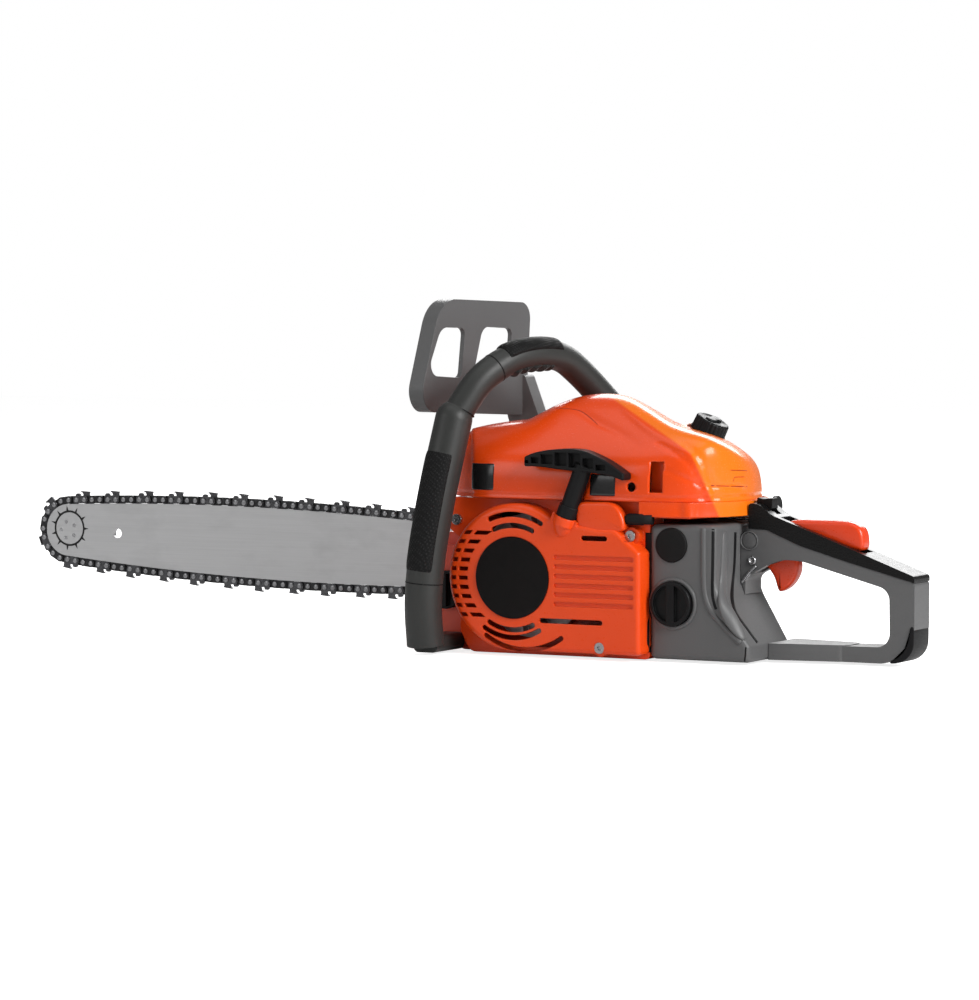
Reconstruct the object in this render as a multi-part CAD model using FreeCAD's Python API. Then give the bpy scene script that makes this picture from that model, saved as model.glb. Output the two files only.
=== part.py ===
import FreeCAD, Part
import math
import os

# A petrol chainsaw, in millimetres. +X runs forward to the bar nose, +Y to the starter side
# and +Z up. The origin is on the ground, straight below the crankshaft.

# Whole saw
crank_height = 63.0
overrun = 5.0
seat_gap = 0.3
bolt_gap = 0.15
running_gap = 0.05

# Chain and bar
chain_pitch = 8.255
drive_link_count = 72
drive_sprocket_teeth = 7
nose_sprocket_teeth = 10
pitch_half_height = 34.3
rivet_to_rail = 3.6
bar_plane = -62.0
bar_tilt_deg = 1.7
bar_thickness = 4.2
bar_groove_width = 1.8
bar_groove_depth = 8.2
bar_tail_start = 34.0
bar_slot_start = 50.0
bar_slot_end = 94.0
bar_slot_width = 8.3
bar_hole_radius = 2.7
bar_oil_hole_radius = 2.2
bar_nose_hole_radius = 4.2
bar_nose_hole_from_centre = 52.0
nose_disc_radius = 12.1
nose_rivet_radius = 1.6
nose_rivet_circle = 7.4
nose_rivet_count = 5
link_thickness = 1.47
strap_thickness = 1.5
rivet_radius = 1.9
rivet_head_radius = 2.6
rivet_head_height = 0.4
link_end_radius = 3.5
tang_depth = 7.3
tang_width = 5.2
cutter_height = 7.6
cutter_kerf = 2.2
cutter_top_thickness = 1.1
gauge_height = 5.6

loop_side_limit = 40.0
loop_halvings = 80
loop_first_share = 0.44
loop_tries = 30

# Crankcase
case_rear = -108.0
case_front = 95.0
case_left = 45.0
case_right = -50.0
case_top_over_crank = 32.0
case_top = crank_height + case_top_over_crank
case_corner_radius = 10.0
case_chin_height = 24.0
case_chin_length = 26.0
duct_wall = 4.0
duct_front = 68.0
crank_chamber_radius = 30.0
crank_chamber_half_width = 14.0
chamber_neck_half_width = 24.0
bearing_outer_radius = 17.5
bearing_bore_radius = 7.5
bearing_width = 11.0
bearing_ring = 3.2
shaft_hole_radius = 9.5
oil_tank_rear = 57.5
oil_tank_left = 56.0
oil_tank_wall = 4.0
oil_tank_top_over_crank = 17.0
oil_tank_top = crank_height + oil_tank_top_over_crank
oil_neck_radius = 11.0
oil_cap_x = 76.0
oil_cap_over_crank = -14.0
oil_cap_z = crank_height + oil_cap_over_crank
bar_pad_rear = 44.0
bar_pad_front = 88.0
bar_pad_low_over_crank = -16.0
bar_pad_low = crank_height + bar_pad_low_over_crank
bar_pad_high_over_crank = 19.0
bar_pad_high = crank_height + bar_pad_high_over_crank
duct_window_half_width = 34.0
duct_window_height = 20.0
cover_boss_radius = 6.0
cover_boss_depth = 36.5

# Engine
cylinder_half_width = 38.0
cylinder_barrel_radius = 27.5
cylinder_base_height = 6.0
cylinder_base_half_width = 28.0
bore_radius = 22.5
bore_top_over_crank = 95.0
bore_top = crank_height + bore_top_over_crank
fin_count = 9
fin_thickness = 2.0
fin_low_over_crank = 43.0
fin_low = crank_height + fin_low_over_crank
fin_high_over_crank = 105.0
fin_high = crank_height + fin_high_over_crank
port_half_width = 16.0
port_low_over_crank = 55.0
port_low = crank_height + port_low_over_crank
port_high_over_crank = 79.0
port_high = crank_height + port_high_over_crank
port_radius = 9.0
exhaust_reach = 45.0
intake_reach = 41.0
crank_throw = 16.0
rod_length = 56.0
rod_thickness = 7.0
rod_big_end_radius = 11.5
rod_small_end_radius = 8.0
rod_beam_half_width = 4.5
crank_pin_radius = 7.0
crank_web_radius = 26.0
crank_web_thickness = 8.5
crank_shaft_radius = 7.0
crank_left_end = 68.0
crank_right_end = -94.0
piston_radius = 22.3
piston_crown = 18.0
piston_skirt = 18.0
piston_wall = 3.0
piston_pin_radius = 5.0
piston_pin_half_length = 19.0
ring_groove_height = 1.6
ring_groove_depth = 0.8
ring_groove_pitch = 4.0
plug_tilt_deg = 18.0
plug_thread_radius = 6.0
plug_thread_length = 10.0
plug_hex_radius = 9.0
plug_hex_height = 7.0
plug_insulator_radius = 5.0
plug_insulator_height = 14.0
boot_radius = 8.0
boot_wall = 1.8
boot_height = 16.0
boot_arm_length = 20.0
boot_arm_radius = 4.5
muffler_rear_gap = 0.3
muffler_front = 66.0
muffler_half_width = 34.0
muffler_low_over_crank = 36.0
muffler_low = crank_height + muffler_low_over_crank
muffler_high_over_crank = 97.0
muffler_high = crank_height + muffler_high_over_crank
muffler_wall = 1.6
muffler_corner = 7.0
muffler_outlet_radius = 7.0
muffler_outlet_y = -14.0
muffler_outlet_over_crank = 83.0
muffler_outlet_z = crank_height + muffler_outlet_over_crank
muffler_outlet_length = 4.5
muffler_rib_count = 4
muffler_rib_height = 1.6
boot_rubber_front = -41.3
boot_rubber_rear = -62.0
boot_rubber_radius = 15.0
carburettor_front = -62.3
carburettor_rear = -94.0
carburettor_half_width = 18.0
carburettor_low_over_crank = 58.0
carburettor_low = crank_height + carburettor_low_over_crank
carburettor_high_over_crank = 89.0
carburettor_high = crank_height + carburettor_high_over_crank
carburettor_bore_radius = 8.0
carburettor_bore_over_crank = 67.0
carburettor_bore_z = crank_height + carburettor_bore_over_crank
carburettor_corner = 3.0
throttle_shaft_radius = 2.5
throttle_shaft_low_over_crank = 46.5
throttle_shaft_low = crank_height + throttle_shaft_low_over_crank
air_filter_front = -97.0
air_filter_rear = -150.0
air_filter_half_width = 34.0
air_filter_low_over_crank = 59.0
air_filter_low = crank_height + air_filter_low_over_crank
air_filter_high_over_crank = 89.0
air_filter_high = crank_height + air_filter_high_over_crank
air_filter_corner = 10.0
air_filter_pleats = 11
air_filter_pleat_depth = 2.0
stud_post_radius = 4.0

# Flywheel and starter
flywheel_radius = 50.0
flywheel_inner_face = 48.0
flywheel_disc_thickness = 7.0
flywheel_blade_height = 9.0
flywheel_blade_count = 14
flywheel_blade_thickness = 2.0
flywheel_hub_radius = 15.0
pawl_circle_radius = 21.0
pawl_length = 13.0
pawl_height = 6.0
pawl_thickness = 2.6
coil_leg_gap = 0.5
coil_width = 26.0
coil_depth = 14.0
coil_height = 16.0
pulley_radius = 30.0
pulley_groove_radius = 25.0
pulley_low = 69.0
pulley_high = 79.0
pulley_flange = 1.6
pulley_bore_radius = 6.0
spring_outer_radius = 25.0
spring_inner_radius = 9.0
spring_width = 4.6
rope_radius = 1.8

# Starter cover
starter_face = 88.0
starter_flange = 70.0
starter_inner = 45.3
starter_wall = 2.6
starter_front = 57.0
starter_rear = -113.0
starter_ear_front = 68.0
starter_ear_low_over_crank = 29.0
starter_ear_low = crank_height + starter_ear_low_over_crank
starter_low = 1.0
starter_high_over_crank = 62.0
starter_high = crank_height + starter_high_over_crank
starter_corner = 9.0
dome_radius = 59.0
dome_round = 6.0
panel_rear = -112.4
panel_low = 5.0
panel_high_over_crank = 41.0
panel_high = crank_height + panel_high_over_crank
panel_round = 4.0
panel_corner = 12.0
disc_radius = 32.5
disc_proud = 1.2
disc_dish = 0.8
vent_row_count = 10
vent_row_pitch = 7.3
vent_row_height = 3.2
vent_outer_radius = 56.0
vent_rib_outer_radius = 51.0
vent_rib_inner_radius = 48.8
vent_inner_radius = 40.5
arc_slot_width = 4.2
long_arc_radius = 60.0
long_arc_shift_x = -10.0
long_arc_shift_z = 3.0
groove_count = 6
groove_pitch = 7.4
groove_height = 3.6
groove_depth = 1.6
groove_front = -37.0
groove_rear = -107.0
groove_low_over_crank = -19.6
groove_low = crank_height + groove_low_over_crank
short_slot_front = -61.0
short_slot_rear = -84.0
short_slot_over_crank = 33.2
short_slot_z = crank_height + short_slot_over_crank
long_slot_front = -24.0
long_slot_rear = -80.0
long_slot_over_crank = -33.2
long_slot_z = crank_height + long_slot_over_crank
slot_height = 4.0
corner_notch_front = -90.0
corner_notch_low_over_crank = 23.0
corner_notch_low = crank_height + corner_notch_low_over_crank
corner_notch_depth = 10.0
corner_screw_x = -100.5
corner_screw_over_crank = 35.5
corner_screw_z = crank_height + corner_screw_over_crank
low_screw_x = -77.0
guide_x = -47.0
guide_over_crank = 49.5
guide_z = crank_height + guide_over_crank
guide_y = 86.0
guide_radius = 9.0
guide_length = 7.0
guide_bore_radius = 3.0
rope_lean_deg = 21.2

# Starter grip
grip_stem_radius = 7.2
grip_stem_length = 44.0
grip_collar_radius = 8.4
grip_collar_length = 9.0
grip_front = -13.0
grip_rear = -101.0
grip_low_over_crank = 74.0
grip_low = crank_height + grip_low_over_crank
grip_high_over_crank = 103.5
grip_high = crank_height + grip_high_over_crank
grip_bar_width = 15.0
grip_bar_round = 1.8
grip_pocket_depth = 4.5
grip_pocket_wall = 2.4
grip_rib = 0.9
grip_rope_radius = 2.2
grip_arch_shares = [
    (0.00, 0.36, 0.20), (0.07, 0.50, 0.26), (0.17, 0.68, 0.36), (0.29, 0.84, 0.48), (0.42, 0.97, 0.57),
    (0.56, 1.00, 0.58), (0.70, 0.98, 0.52), (0.84, 0.92, 0.42), (0.94, 0.84, 0.33), (1.00, 0.76, 0.26),
]

# Top cover
cover_front = 86.0
cover_rear = -172.0
cover_low_over_crank = 62.6
cover_low = crank_height + cover_low_over_crank
cover_high_over_crank = 144.0
cover_high = crank_height + cover_high_over_crank
cover_left = 79.0
cover_right = -64.0
cover_wall = 2.6
cover_near_shift = -30.0
cover_far_shift = 14.0
cover_far_drop = 12.0
cover_window_half_width = 28.0
cover_window_low_over_crank = 68.0
cover_window_low = crank_height + cover_window_low_over_crank
cover_window_high_over_crank = 99.0
cover_window_high = crank_height + cover_window_high_over_crank
cover_slot_front = -116.0
cover_slot_rear = -127.0
cover_slot_low_over_crank = 70.0
cover_slot_low = crank_height + cover_slot_low_over_crank
cover_slot_high_over_crank = 94.0
cover_slot_high = crank_height + cover_slot_high_over_crank
cover_hole_x = -101.0
cover_hole_over_crank = 74.0
cover_hole_z = crank_height + cover_hole_over_crank
cover_hole_radius = 3.8
knob_x = -129.0
knob_over_crank = 114.0
knob_z = crank_height + knob_over_crank
knob_tilt_deg = 27.0
knob_boss_radius = 19.0
knob_boss_height = 6.0
knob_radius = 14.0
knob_height = 12.0
knob_flute_count = 16
knob_flute_radius = 1.6
knob_round = 1.5
knob_stem_radius = 4.0
knob_stem_length = 14.0
rim_rear = -169.0
rim_front = -118.4
rim_low_over_crank = 50.0
rim_low = crank_height + rim_low_over_crank
rim_high_over_crank = 62.3
rim_high = crank_height + rim_high_over_crank
rim_floor = 2.4
rim_left = 74.0
rim_right = -58.0

# Clutch side
sprocket_flange_radius = 13.4
sprocket_web_radius = 9.9
sprocket_low = -66.5
sprocket_high = -57.5
sprocket_channel = 3.0
drum_radius = 36.0
drum_wall = 2.2
drum_low = -88.0
drum_high = -69.0
drum_bore_radius = 7.1
clutch_hub_radius = 12.0
clutch_shoe_inner_radius = 13.0
clutch_shoe_outer_radius = 32.6
clutch_shoe_count = 3
clutch_low = -86.5
clutch_high = -73.5
clutch_arm_width = 7.0
clutch_arm_gap = 0.6
band_gap = 0.8
band_thickness = 1.2
band_low = -85.0
band_high = -73.0
band_end_length = 22.0
clutch_cover_low_y = -108.0
clutch_cover_high_y = -66.6
clutch_cover_front = 104.0
clutch_cover_rear = -48.0
clutch_cover_low_over_crank = -48.0
clutch_cover_low = crank_height + clutch_cover_low_over_crank
clutch_cover_high_over_crank = 47.0
clutch_cover_high = crank_height + clutch_cover_high_over_crank
clutch_cover_wall = 2.8
clutch_cover_round = 7.0
clutch_cover_vents = 7
clutch_vent_pitch = 9.0
clutch_vent_height = 4.0
clutch_vent_length = 52.0
clutch_vent_front = 28.0
stud_first_x = 58.0
stud_spacing = 26.0
stud_radius = 4.0
stud_root = -38.0
nut_radius = 8.0
nut_height = 8.0
nut_flange_radius = 10.5
nut_flange_height = 2.0
nut_recess = 9.0
nut_pad_margin = 3.0
chain_gate = 9.0
bumper_plate = 2.5
bumper_rear = 88.4
bumper_front = 98.0
bumper_low_over_crank = -37.0
bumper_low = crank_height + bumper_low_over_crank
bumper_high_over_crank = 33.0
bumper_high = crank_height + bumper_high_over_crank
bumper_tooth_count = 4
bumper_tooth_length = 18.0
catcher_x = 52.0
catcher_length = 20.0
catcher_low_over_crank = -44.0
catcher_low = crank_height + catcher_low_over_crank
catcher_height = 9.0
catcher_reach = 15.0
tension_screw_radius = 2.5
tension_screw_head_radius = 4.2
tension_screw_head = 4.0
tension_over_crank = -8.2
tension_z = crank_height + tension_over_crank
tension_y = -54.5
tension_front = 101.0
tension_rear = 60.0
tension_block = 7.0
tension_block_x = 68.0
tension_pin_radius = 2.5
pump_front = -6.0
pump_root_front = -18.0
pump_rear = -38.0
pump_low_over_crank = -23.0
pump_low = crank_height + pump_low_over_crank
pump_high_over_crank = -5.0
pump_high = crank_height + pump_high_over_crank
pump_right = -56.0
pump_corner = 2.0
worm_radius = 10.5
worm_low = -56.4
worm_high = -50.6

# Tank and its caps
tank_front = -113.6
tank_rear = -170.0
tank_foot_rear = -199.0
tank_low = 2.0
tank_high_over_crank = 45.0
tank_high = crank_height + tank_high_over_crank
tank_left = 72.0
tank_right = -52.0
tank_wall = 3.0
tank_round = 9.0
tank_bend_radius = 36.0
tank_edge_round = 4.5
tank_plan_y = -10.0
tank_plan_x = -146.0
fuel_cap_x = -133.4
fuel_cap_over_crank = -17.0
fuel_cap_z = crank_height + fuel_cap_over_crank
fuel_cap_radius = 17.5
fuel_cap_seat_radius = 19.5
fuel_cap_seat_depth = 2.0
fuel_cap_proud = 5.0
fuel_cap_bar_width = 6.5
fuel_cap_bar_height = 5.0
fuel_neck_radius = 12.0
fuel_neck_length = 12.0
oil_cap_radius = 15.5
oil_cap_thickness = 5.0
oil_cap_bar_height = 4.0
damper_x = -132.5
damper_over_crank = 29.0
damper_z = crank_height + damper_over_crank
damper_radius = 13.6
damper_proud = 1.6
damper_depth = 12.0
damper_mount_radius = 11.0
damper_mount_y = 30.0
damper_mount_low_over_crank = -37.0
damper_mount_low_z = crank_height + damper_mount_low_over_crank
damper_mount_high_over_crank = 15.0
damper_mount_high_z = crank_height + damper_mount_high_over_crank

# Rear handle
handle_centre_y = 10.0
handle_half_width = 15.0
handle_front = -177.3
handle_rear = -318.0
handle_low = 2.0
handle_high_over_crank = 61.0
handle_high = crank_height + handle_high_over_crank
foot_bar_left = 36.0
foot_bar_right = -16.0
foot_bar_end = -262.0
foot_bar_high = 15.0
grip_cover_overhang = 0.6
trigger_pivot_x = -188.0
trigger_pivot_over_crank = 24.0
trigger_pivot_z = crank_height + trigger_pivot_over_crank
trigger_half_width = 6.0
trigger_pocket_gap = 1.2
trigger_arm_height = 22.5
trigger_arm_half_width = 3.0
lockout_pivot_x = -208.0
lockout_pivot_over_crank = 35.0
lockout_pivot_z = crank_height + lockout_pivot_over_crank
lockout_half_width = 8.0
lockout_travel_deg = 7.0
pivot_pin_radius = 2.5
pivot_pin_grip = 6.0
trigger_reach = 29.0
trigger_front = 6.0
trigger_drop = 34.0
trigger_rise = 6.0
trigger_room_rear = 34.0
trigger_room_front = 9.0
trigger_room_rise = 9.0
trigger_arm_room = 9.0
lockout_length = 64.0
lockout_front = 5.0
lockout_height = 25.5
lockout_low_over_crank = 23.5
lockout_low = crank_height + lockout_low_over_crank
lockout_pin_radius = 2.0
throttle_rod_radius = 1.3
throttle_rod_front = -98.6
throttle_rod_rear = -186.5
choke_x_front = -171.0
choke_x_rear = -181.5
choke_y = -15.0
choke_over_crank = 56.5
choke_z = crank_height + choke_over_crank
choke_rod_radius = 2.2
choke_rod_front = -154.0
choke_knob_radius = 8.5
choke_knob_neck_radius = 4.5
choke_knob_thickness = 3.0
switch_x = -180.0
switch_length = 13.0
switch_half_width = 5.5
switch_low_over_crank = 51.5
switch_low = crank_height + switch_low_over_crank
switch_top_over_crank = 65.0
switch_top = crank_height + switch_top_over_crank
switch_height = 5.0
switch_round = 1.2

# Front handle and guard
front_tube_radius = 12.0
front_leg_radius = 15.0
bend_share = 0.45
front_foot_rear = 60.5
front_foot_front = 82.0
front_foot_low = 1.5
front_leg_foot = 8.0
front_foot_high = 15.0
front_lug_front = -124.0
front_lug_rear = -152.0
front_lug_low_over_crank = 15.0
front_lug_low = crank_height + front_lug_low_over_crank
front_lug_high_over_crank = 44.0
front_lug_high = crank_height + front_lug_high_over_crank
front_lug_thickness = 9.0
guard_x = 87.0
guard_y = -11.5
guard_half_width = 84.0
guard_low_over_crank = 124.0
guard_low = crank_height + guard_low_over_crank
guard_high_over_crank = 221.0
guard_high = crank_height + guard_high_over_crank
guard_plate = 4.0
guard_rim = 14.0
guard_rim_wall = 4.0
guard_skew_deg = 5.0
guard_arm_bend = 22.0
guard_arm_outer = -98.5
guard_arm_inner = -82.0
guard_pivot_x = 38.0
guard_pivot_over_crank = 57.0
guard_pivot_z = crank_height + guard_pivot_over_crank
guard_boss_radius = 11.0
guard_pin_radius = 4.0
guard_ear_thickness = 7.0
guard_ear_foot = 15.0
guard_pin_head = 2.4
guard_pin_head_radius = 7.0

# Fasteners
screw_radius = 2.5
screw_head_radius = 4.4
screw_head_height = 3.6
screw_socket_radius = 2.1
engine_screw_radius = 2.5
engine_screw_head_radius = 4.2
engine_screw_head_height = 4.6

X = FreeCAD.Vector(1, 0, 0)
Y = FreeCAD.Vector(0, 1, 0)
Z = FreeCAD.Vector(0, 0, 1)


def vector(x, y, z):
    return FreeCAD.Vector(x, y, z)


def block(x0, x1, y0, y1, z0, z1):
    return Part.makeBox(abs(x1 - x0), abs(y1 - y0), abs(z1 - z0), vector(min(x0, x1), min(y0, y1), min(z0,
        z1)))


def round_bar(start, direction, radius, length):
    return Part.makeCylinder(radius, length, start, direction)


def bar_y(x, z, radius, y0, y1):
    return Part.makeCylinder(radius, abs(y1 - y0), vector(x, min(y0, y1), z), Y)


def bar_x(y, z, radius, x0, x1):
    return Part.makeCylinder(radius, abs(x1 - x0), vector(min(x0, x1), y, z), X)


def bar_z(x, y, radius, z0, z1):
    return Part.makeCylinder(radius, abs(z1 - z0), vector(x, y, min(z0, z1)), Z)


def join(shapes):
    whole = shapes[0]
    for shape in shapes[1:]:
        whole = whole.fuse(shape)
    return whole.removeSplitter()


def cut_all(shape, tools):
    for tool in tools:
        shape = shape.cut(tool)
    return shape


def turned(shape, centre, axis, degrees):
    copy = shape.copy()
    copy.rotate(centre, axis, degrees)
    return copy


def moved(shape, x, y, z):
    copy = shape.copy()
    copy.translate(vector(x, y, z))
    return copy


def span(low, high, share):
    """The place that lies at a share of the way from low to high."""
    return low + (high - low) * share


def outline(shares, a0, a1, b0, b1):
    """Corner points with their radii: shares of a width, a height and, for the radius, that height."""
    return [(span(a0, a1, a), span(b0, b1, b), abs(b1 - b0) * r) for a, b, r in shares]


def rectangle(a0, a1, b0, b1, radius):
    return [(a0, b0, radius), (a1, b0, radius), (a1, b1, radius), (a0, b1, radius)]


def on_plane(plane, a, b, level):
    if plane == "xz":
        return vector(a, level, b)
    if plane == "yz":
        return vector(level, a, b)
    return vector(a, b, level)


def corner_arc(before, corner, after, radius):
    """Start, middle and end of the arc that rounds one corner, or the corner alone."""
    to_before = (before - corner).normalize()
    to_after = (after - corner).normalize()
    half = to_before.getAngle(to_after) / 2
    room = min((before - corner).Length, (after - corner).Length) * 0.49
    reach = min(radius / math.tan(half), room)
    radius = reach * math.tan(half)
    middle_line = (to_before + to_after).normalize()
    centre = corner + middle_line * (radius / math.sin(half))
    return corner + to_before * reach, centre - middle_line * radius, corner + to_after * reach


def rounded_wire(points, plane, level):
    """A closed wire through (a, b, radius) corners, each corner rounded by its radius."""
    spots = [on_plane(plane, a, b, level) for a, b, radius in points]
    edges = []
    ends = []
    for index, (a, b, radius) in enumerate(points):
        corner = spots[index]
        if radius <= 0:
            ends.append((corner, corner))
            continue
        start, middle, end = corner_arc(spots[index - 1], corner, spots[(index + 1) % len(spots)], radius)
        edges.append(Part.Arc(start, middle, end).toShape())
        ends.append((start, end))
    for index in range(len(ends)):
        start = ends[index - 1][1]
        end = ends[index][0]
        if (end - start).Length > running_gap / 100:
            edges.append(Part.LineSegment(start, end).toShape())
    return Part.Wire(Part.__sortEdges__(edges))


def prism(points, plane, low, high, inset=0):
    """A plate of the outline, from low to high across its plane, drawn in by inset."""
    wire = rounded_wire(points, plane, low)
    if inset:
        wire = wire.makeOffset2D(-inset)
    face = Part.Face(wire)
    across = {"xz": Y, "yz": X, "xy": Z}[plane]
    return face.extrude(across * (high - low))


def tube(points, radius, bend_share):
    """A round bar along straight runs joined by tangent arcs."""
    edges = []
    last = points[0]
    for index in range(1, len(points) - 1):
        before, corner, after = points[index - 1], points[index], points[index + 1]
        half = (before - corner).getAngle(after - corner) / 2
        reach = min((before - corner).Length, (after - corner).Length) * bend_share
        start, middle, end = corner_arc(before, corner, after, reach * math.tan(half))
        edges.append(Part.LineSegment(last, start).toShape())
        edges.append(Part.Arc(start, middle, end).toShape())
        last = end
    edges.append(Part.LineSegment(last, points[-1]).toShape())
    path = Part.Wire(edges)
    circle = Part.makeCircle(radius, points[0], points[1] - points[0])
    return path.makePipeShell([Part.Wire([circle])], True, False)


def round_edges(shape, radius, keep):
    """Round the edges for which keep(edge) is true."""
    edges = [edge for edge in shape.Edges if keep(edge)]
    return shape.makeFillet(radius, edges)


def lies_at_y(level):
    return lambda edge: max(abs(edge.BoundBox.YMin - level), abs(edge.BoundBox.YMax - level)) < running_gap


def hexagon(centre, axis_is_y, radius, length):
    """A six-sided nut or bolt head that runs along Y, or along Z."""
    points = []
    for step in range(6):
        angle = math.radians(60 * step)
        first = radius * math.cos(angle)
        second = radius * math.sin(angle)
        offset = vector(first, 0, second) if axis_is_y else vector(first, second, 0)
        points.append(centre + offset)
    face = Part.Face(Part.makePolygon(points + [points[0]]))
    return face.extrude((Y if axis_is_y else Z) * length)


def export(name, shape):
    shape.exportStep("parts/" + name + ".step")
    solids = len(shape.Solids)
    print(name, "solids", solids, "valid", shape.isValid(), "volume", round(shape.Volume, 1))


# Chain loop

def loop_sides(distance):
    """The big circle that is tangent inside the two end circles: its radius, centre and angles."""
    drive = chain_pitch / math.sin(math.pi / drive_sprocket_teeth / 2) / 2
    nose = chain_pitch / math.sin(math.pi / nose_sprocket_teeth / 2) / 2
    low = distance
    high = distance * loop_side_limit
    for step in range(loop_halvings):
        radius = (low + high) / 2
        sink = radius - pitch_half_height
        first = math.sqrt((radius - drive) ** 2 - sink ** 2)
        second = math.sqrt((radius - nose) ** 2 - sink ** 2)
        if first + second < distance:
            low = radius
        else:
            high = radius
    tail_angle = math.asin(first / (radius - drive))
    nose_angle = math.asin(second / (radius - nose))
    return drive, nose, radius, first, tail_angle, nose_angle


def loop_length(distance):
    drive, nose, radius, first, tail_angle, nose_angle = loop_sides(distance)
    sides = 2 * radius * (tail_angle + nose_angle)
    return sides + drive * (math.pi - 2 * tail_angle) + nose * (math.pi - 2 * nose_angle)


def centre_distance():
    """The sprocket distance at which the loop holds its whole number of links."""
    wanted = 2 * drive_link_count * chain_pitch
    distance = wanted * loop_first_share
    for step in range(loop_tries):
        distance += (wanted - loop_length(distance)) / 2
    return distance


nose_distance = centre_distance()
drive_radius, nose_radius, side_radius, side_middle, tail_angle, nose_angle = loop_sides(nose_distance)


def loop_point(travel):
    """The point of the chain's rivet line after a travel, measured from the tail, over the top."""
    tail_arc = drive_radius * (math.pi / 2 - tail_angle)
    side_arc = side_radius * (tail_angle + nose_angle)
    nose_arc = nose_radius * (math.pi / 2 - nose_angle)
    half = tail_arc + side_arc + nose_arc
    mirror = 1
    if travel > half:
        travel = 2 * half - travel
        mirror = -1
    if travel < tail_arc:
        angle = math.pi - travel / drive_radius
        return drive_radius * math.cos(angle), mirror * drive_radius * math.sin(angle)
    if travel < tail_arc + side_arc:
        angle = math.pi / 2 + tail_angle - (travel - tail_arc) / side_radius
        sink = side_radius - pitch_half_height
        return side_middle + side_radius * math.cos(angle), mirror * (side_radius * math.sin(angle) - sink)
    angle = (half - travel) / nose_radius
    return nose_distance + nose_radius * math.cos(angle), mirror * nose_radius * math.sin(angle)


def loop_prism(inset, y0, y1):
    """The area inside the rivet line, drawn in by inset, from y0 to y1, along the untilted bar."""
    tail = drive_radius - inset
    nose = nose_radius - inset
    side = side_radius - inset
    tail_top = vector(-tail * math.sin(tail_angle), 0, tail * math.cos(tail_angle))
    nose_top = vector(nose_distance + nose * math.sin(nose_angle), 0, nose * math.cos(nose_angle))
    middle_top = vector(side_middle, 0, pitch_half_height - inset)
    flip = lambda point: vector(point.x, 0, -point.z)
    edges = [
        Part.Arc(tail_top, middle_top, nose_top).toShape(),
        Part.Arc(nose_top, vector(nose_distance + nose, 0, 0), flip(nose_top)).toShape(),
        Part.Arc(flip(nose_top), flip(middle_top), flip(tail_top)).toShape(),
        Part.Arc(flip(tail_top), vector(-tail, 0, 0), tail_top).toShape(),
    ]
    solid = Part.Face(Part.Wire(edges)).extrude(Y * (y1 - y0))
    return moved(solid, 0, y0, 0)


def on_saw(shape):
    """Set a shape drawn along the untilted bar on the saw: tilted, at the height of the crankshaft."""
    placed = turned(shape, vector(0, 0, 0), Y, -bar_tilt_deg)
    placed.translate(vector(0, 0, crank_height))
    return placed


def nose_place():
    tilt = math.radians(bar_tilt_deg)
    return nose_distance * math.cos(tilt), crank_height + nose_distance * math.sin(tilt)


def along_bar(x, z):
    """A place of the saw in the untilted bar's own plane."""
    tilt = math.radians(bar_tilt_deg)
    rise = z - crank_height
    return x * math.cos(tilt) + rise * math.sin(tilt), rise * math.cos(tilt) - x * math.sin(tilt)


def stud_places():
    """Where the two bar studs stand, on the bar's own middle line."""
    slope = math.tan(math.radians(bar_tilt_deg))
    first = stud_first_x
    second = stud_first_x + stud_spacing
    return [(x, crank_height + x * slope) for x in (first, second)]


def make_guide_bar():
    low = bar_plane - bar_thickness / 2
    high = bar_plane + bar_thickness / 2
    plate = loop_prism(rivet_to_rail, low, high)
    tail_cut = block(-side_radius, bar_tail_start, low - overrun, high + overrun, -side_radius, side_radius)
    plate = plate.cut(tail_cut)
    half_groove = bar_groove_width / 2
    ring = loop_prism(rivet_to_rail - overrun, bar_plane - half_groove, bar_plane + half_groove)
    ring = ring.cut(loop_prism(rivet_to_rail + bar_groove_depth, low - overrun, high + overrun))
    sprocket_room = bar_y(nose_distance, 0, nose_radius, bar_plane - half_groove, bar_plane + half_groove)
    plate = plate.cut(ring).cut(sprocket_room)
    slot = prism(
        rectangle(bar_slot_start, bar_slot_end, -bar_slot_width / 2, bar_slot_width / 2,
                  bar_slot_width / 2),
        "xz", low - overrun, high + overrun)
    pin_x, pin_z = along_bar(tension_block_x, tension_z)
    oil_z = pitch_half_height * 0.42
    holes = [
        slot,
        bar_y(pin_x, pin_z, tension_pin_radius + bolt_gap, low - overrun, high + overrun),
        bar_y(pin_x, -pin_z, bar_hole_radius, low - overrun, high + overrun),
        bar_y(bar_slot_start, oil_z, bar_oil_hole_radius, low - overrun, high + overrun),
        bar_y(bar_slot_start, -oil_z, bar_oil_hole_radius, low - overrun, high + overrun),
        bar_y(nose_distance - bar_nose_hole_from_centre, 0, bar_nose_hole_radius, low - overrun,
              high + overrun),
    ]
    for step in range(nose_rivet_count):
        angle = 2 * math.pi * step / nose_rivet_count
        x = nose_distance + nose_rivet_circle * math.cos(angle)
        z = nose_rivet_circle * math.sin(angle)
        holes.append(bar_y(x, z, nose_rivet_radius + bolt_gap, low - overrun, high + overrun))
    return on_saw(cut_all(plate, holes))


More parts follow.
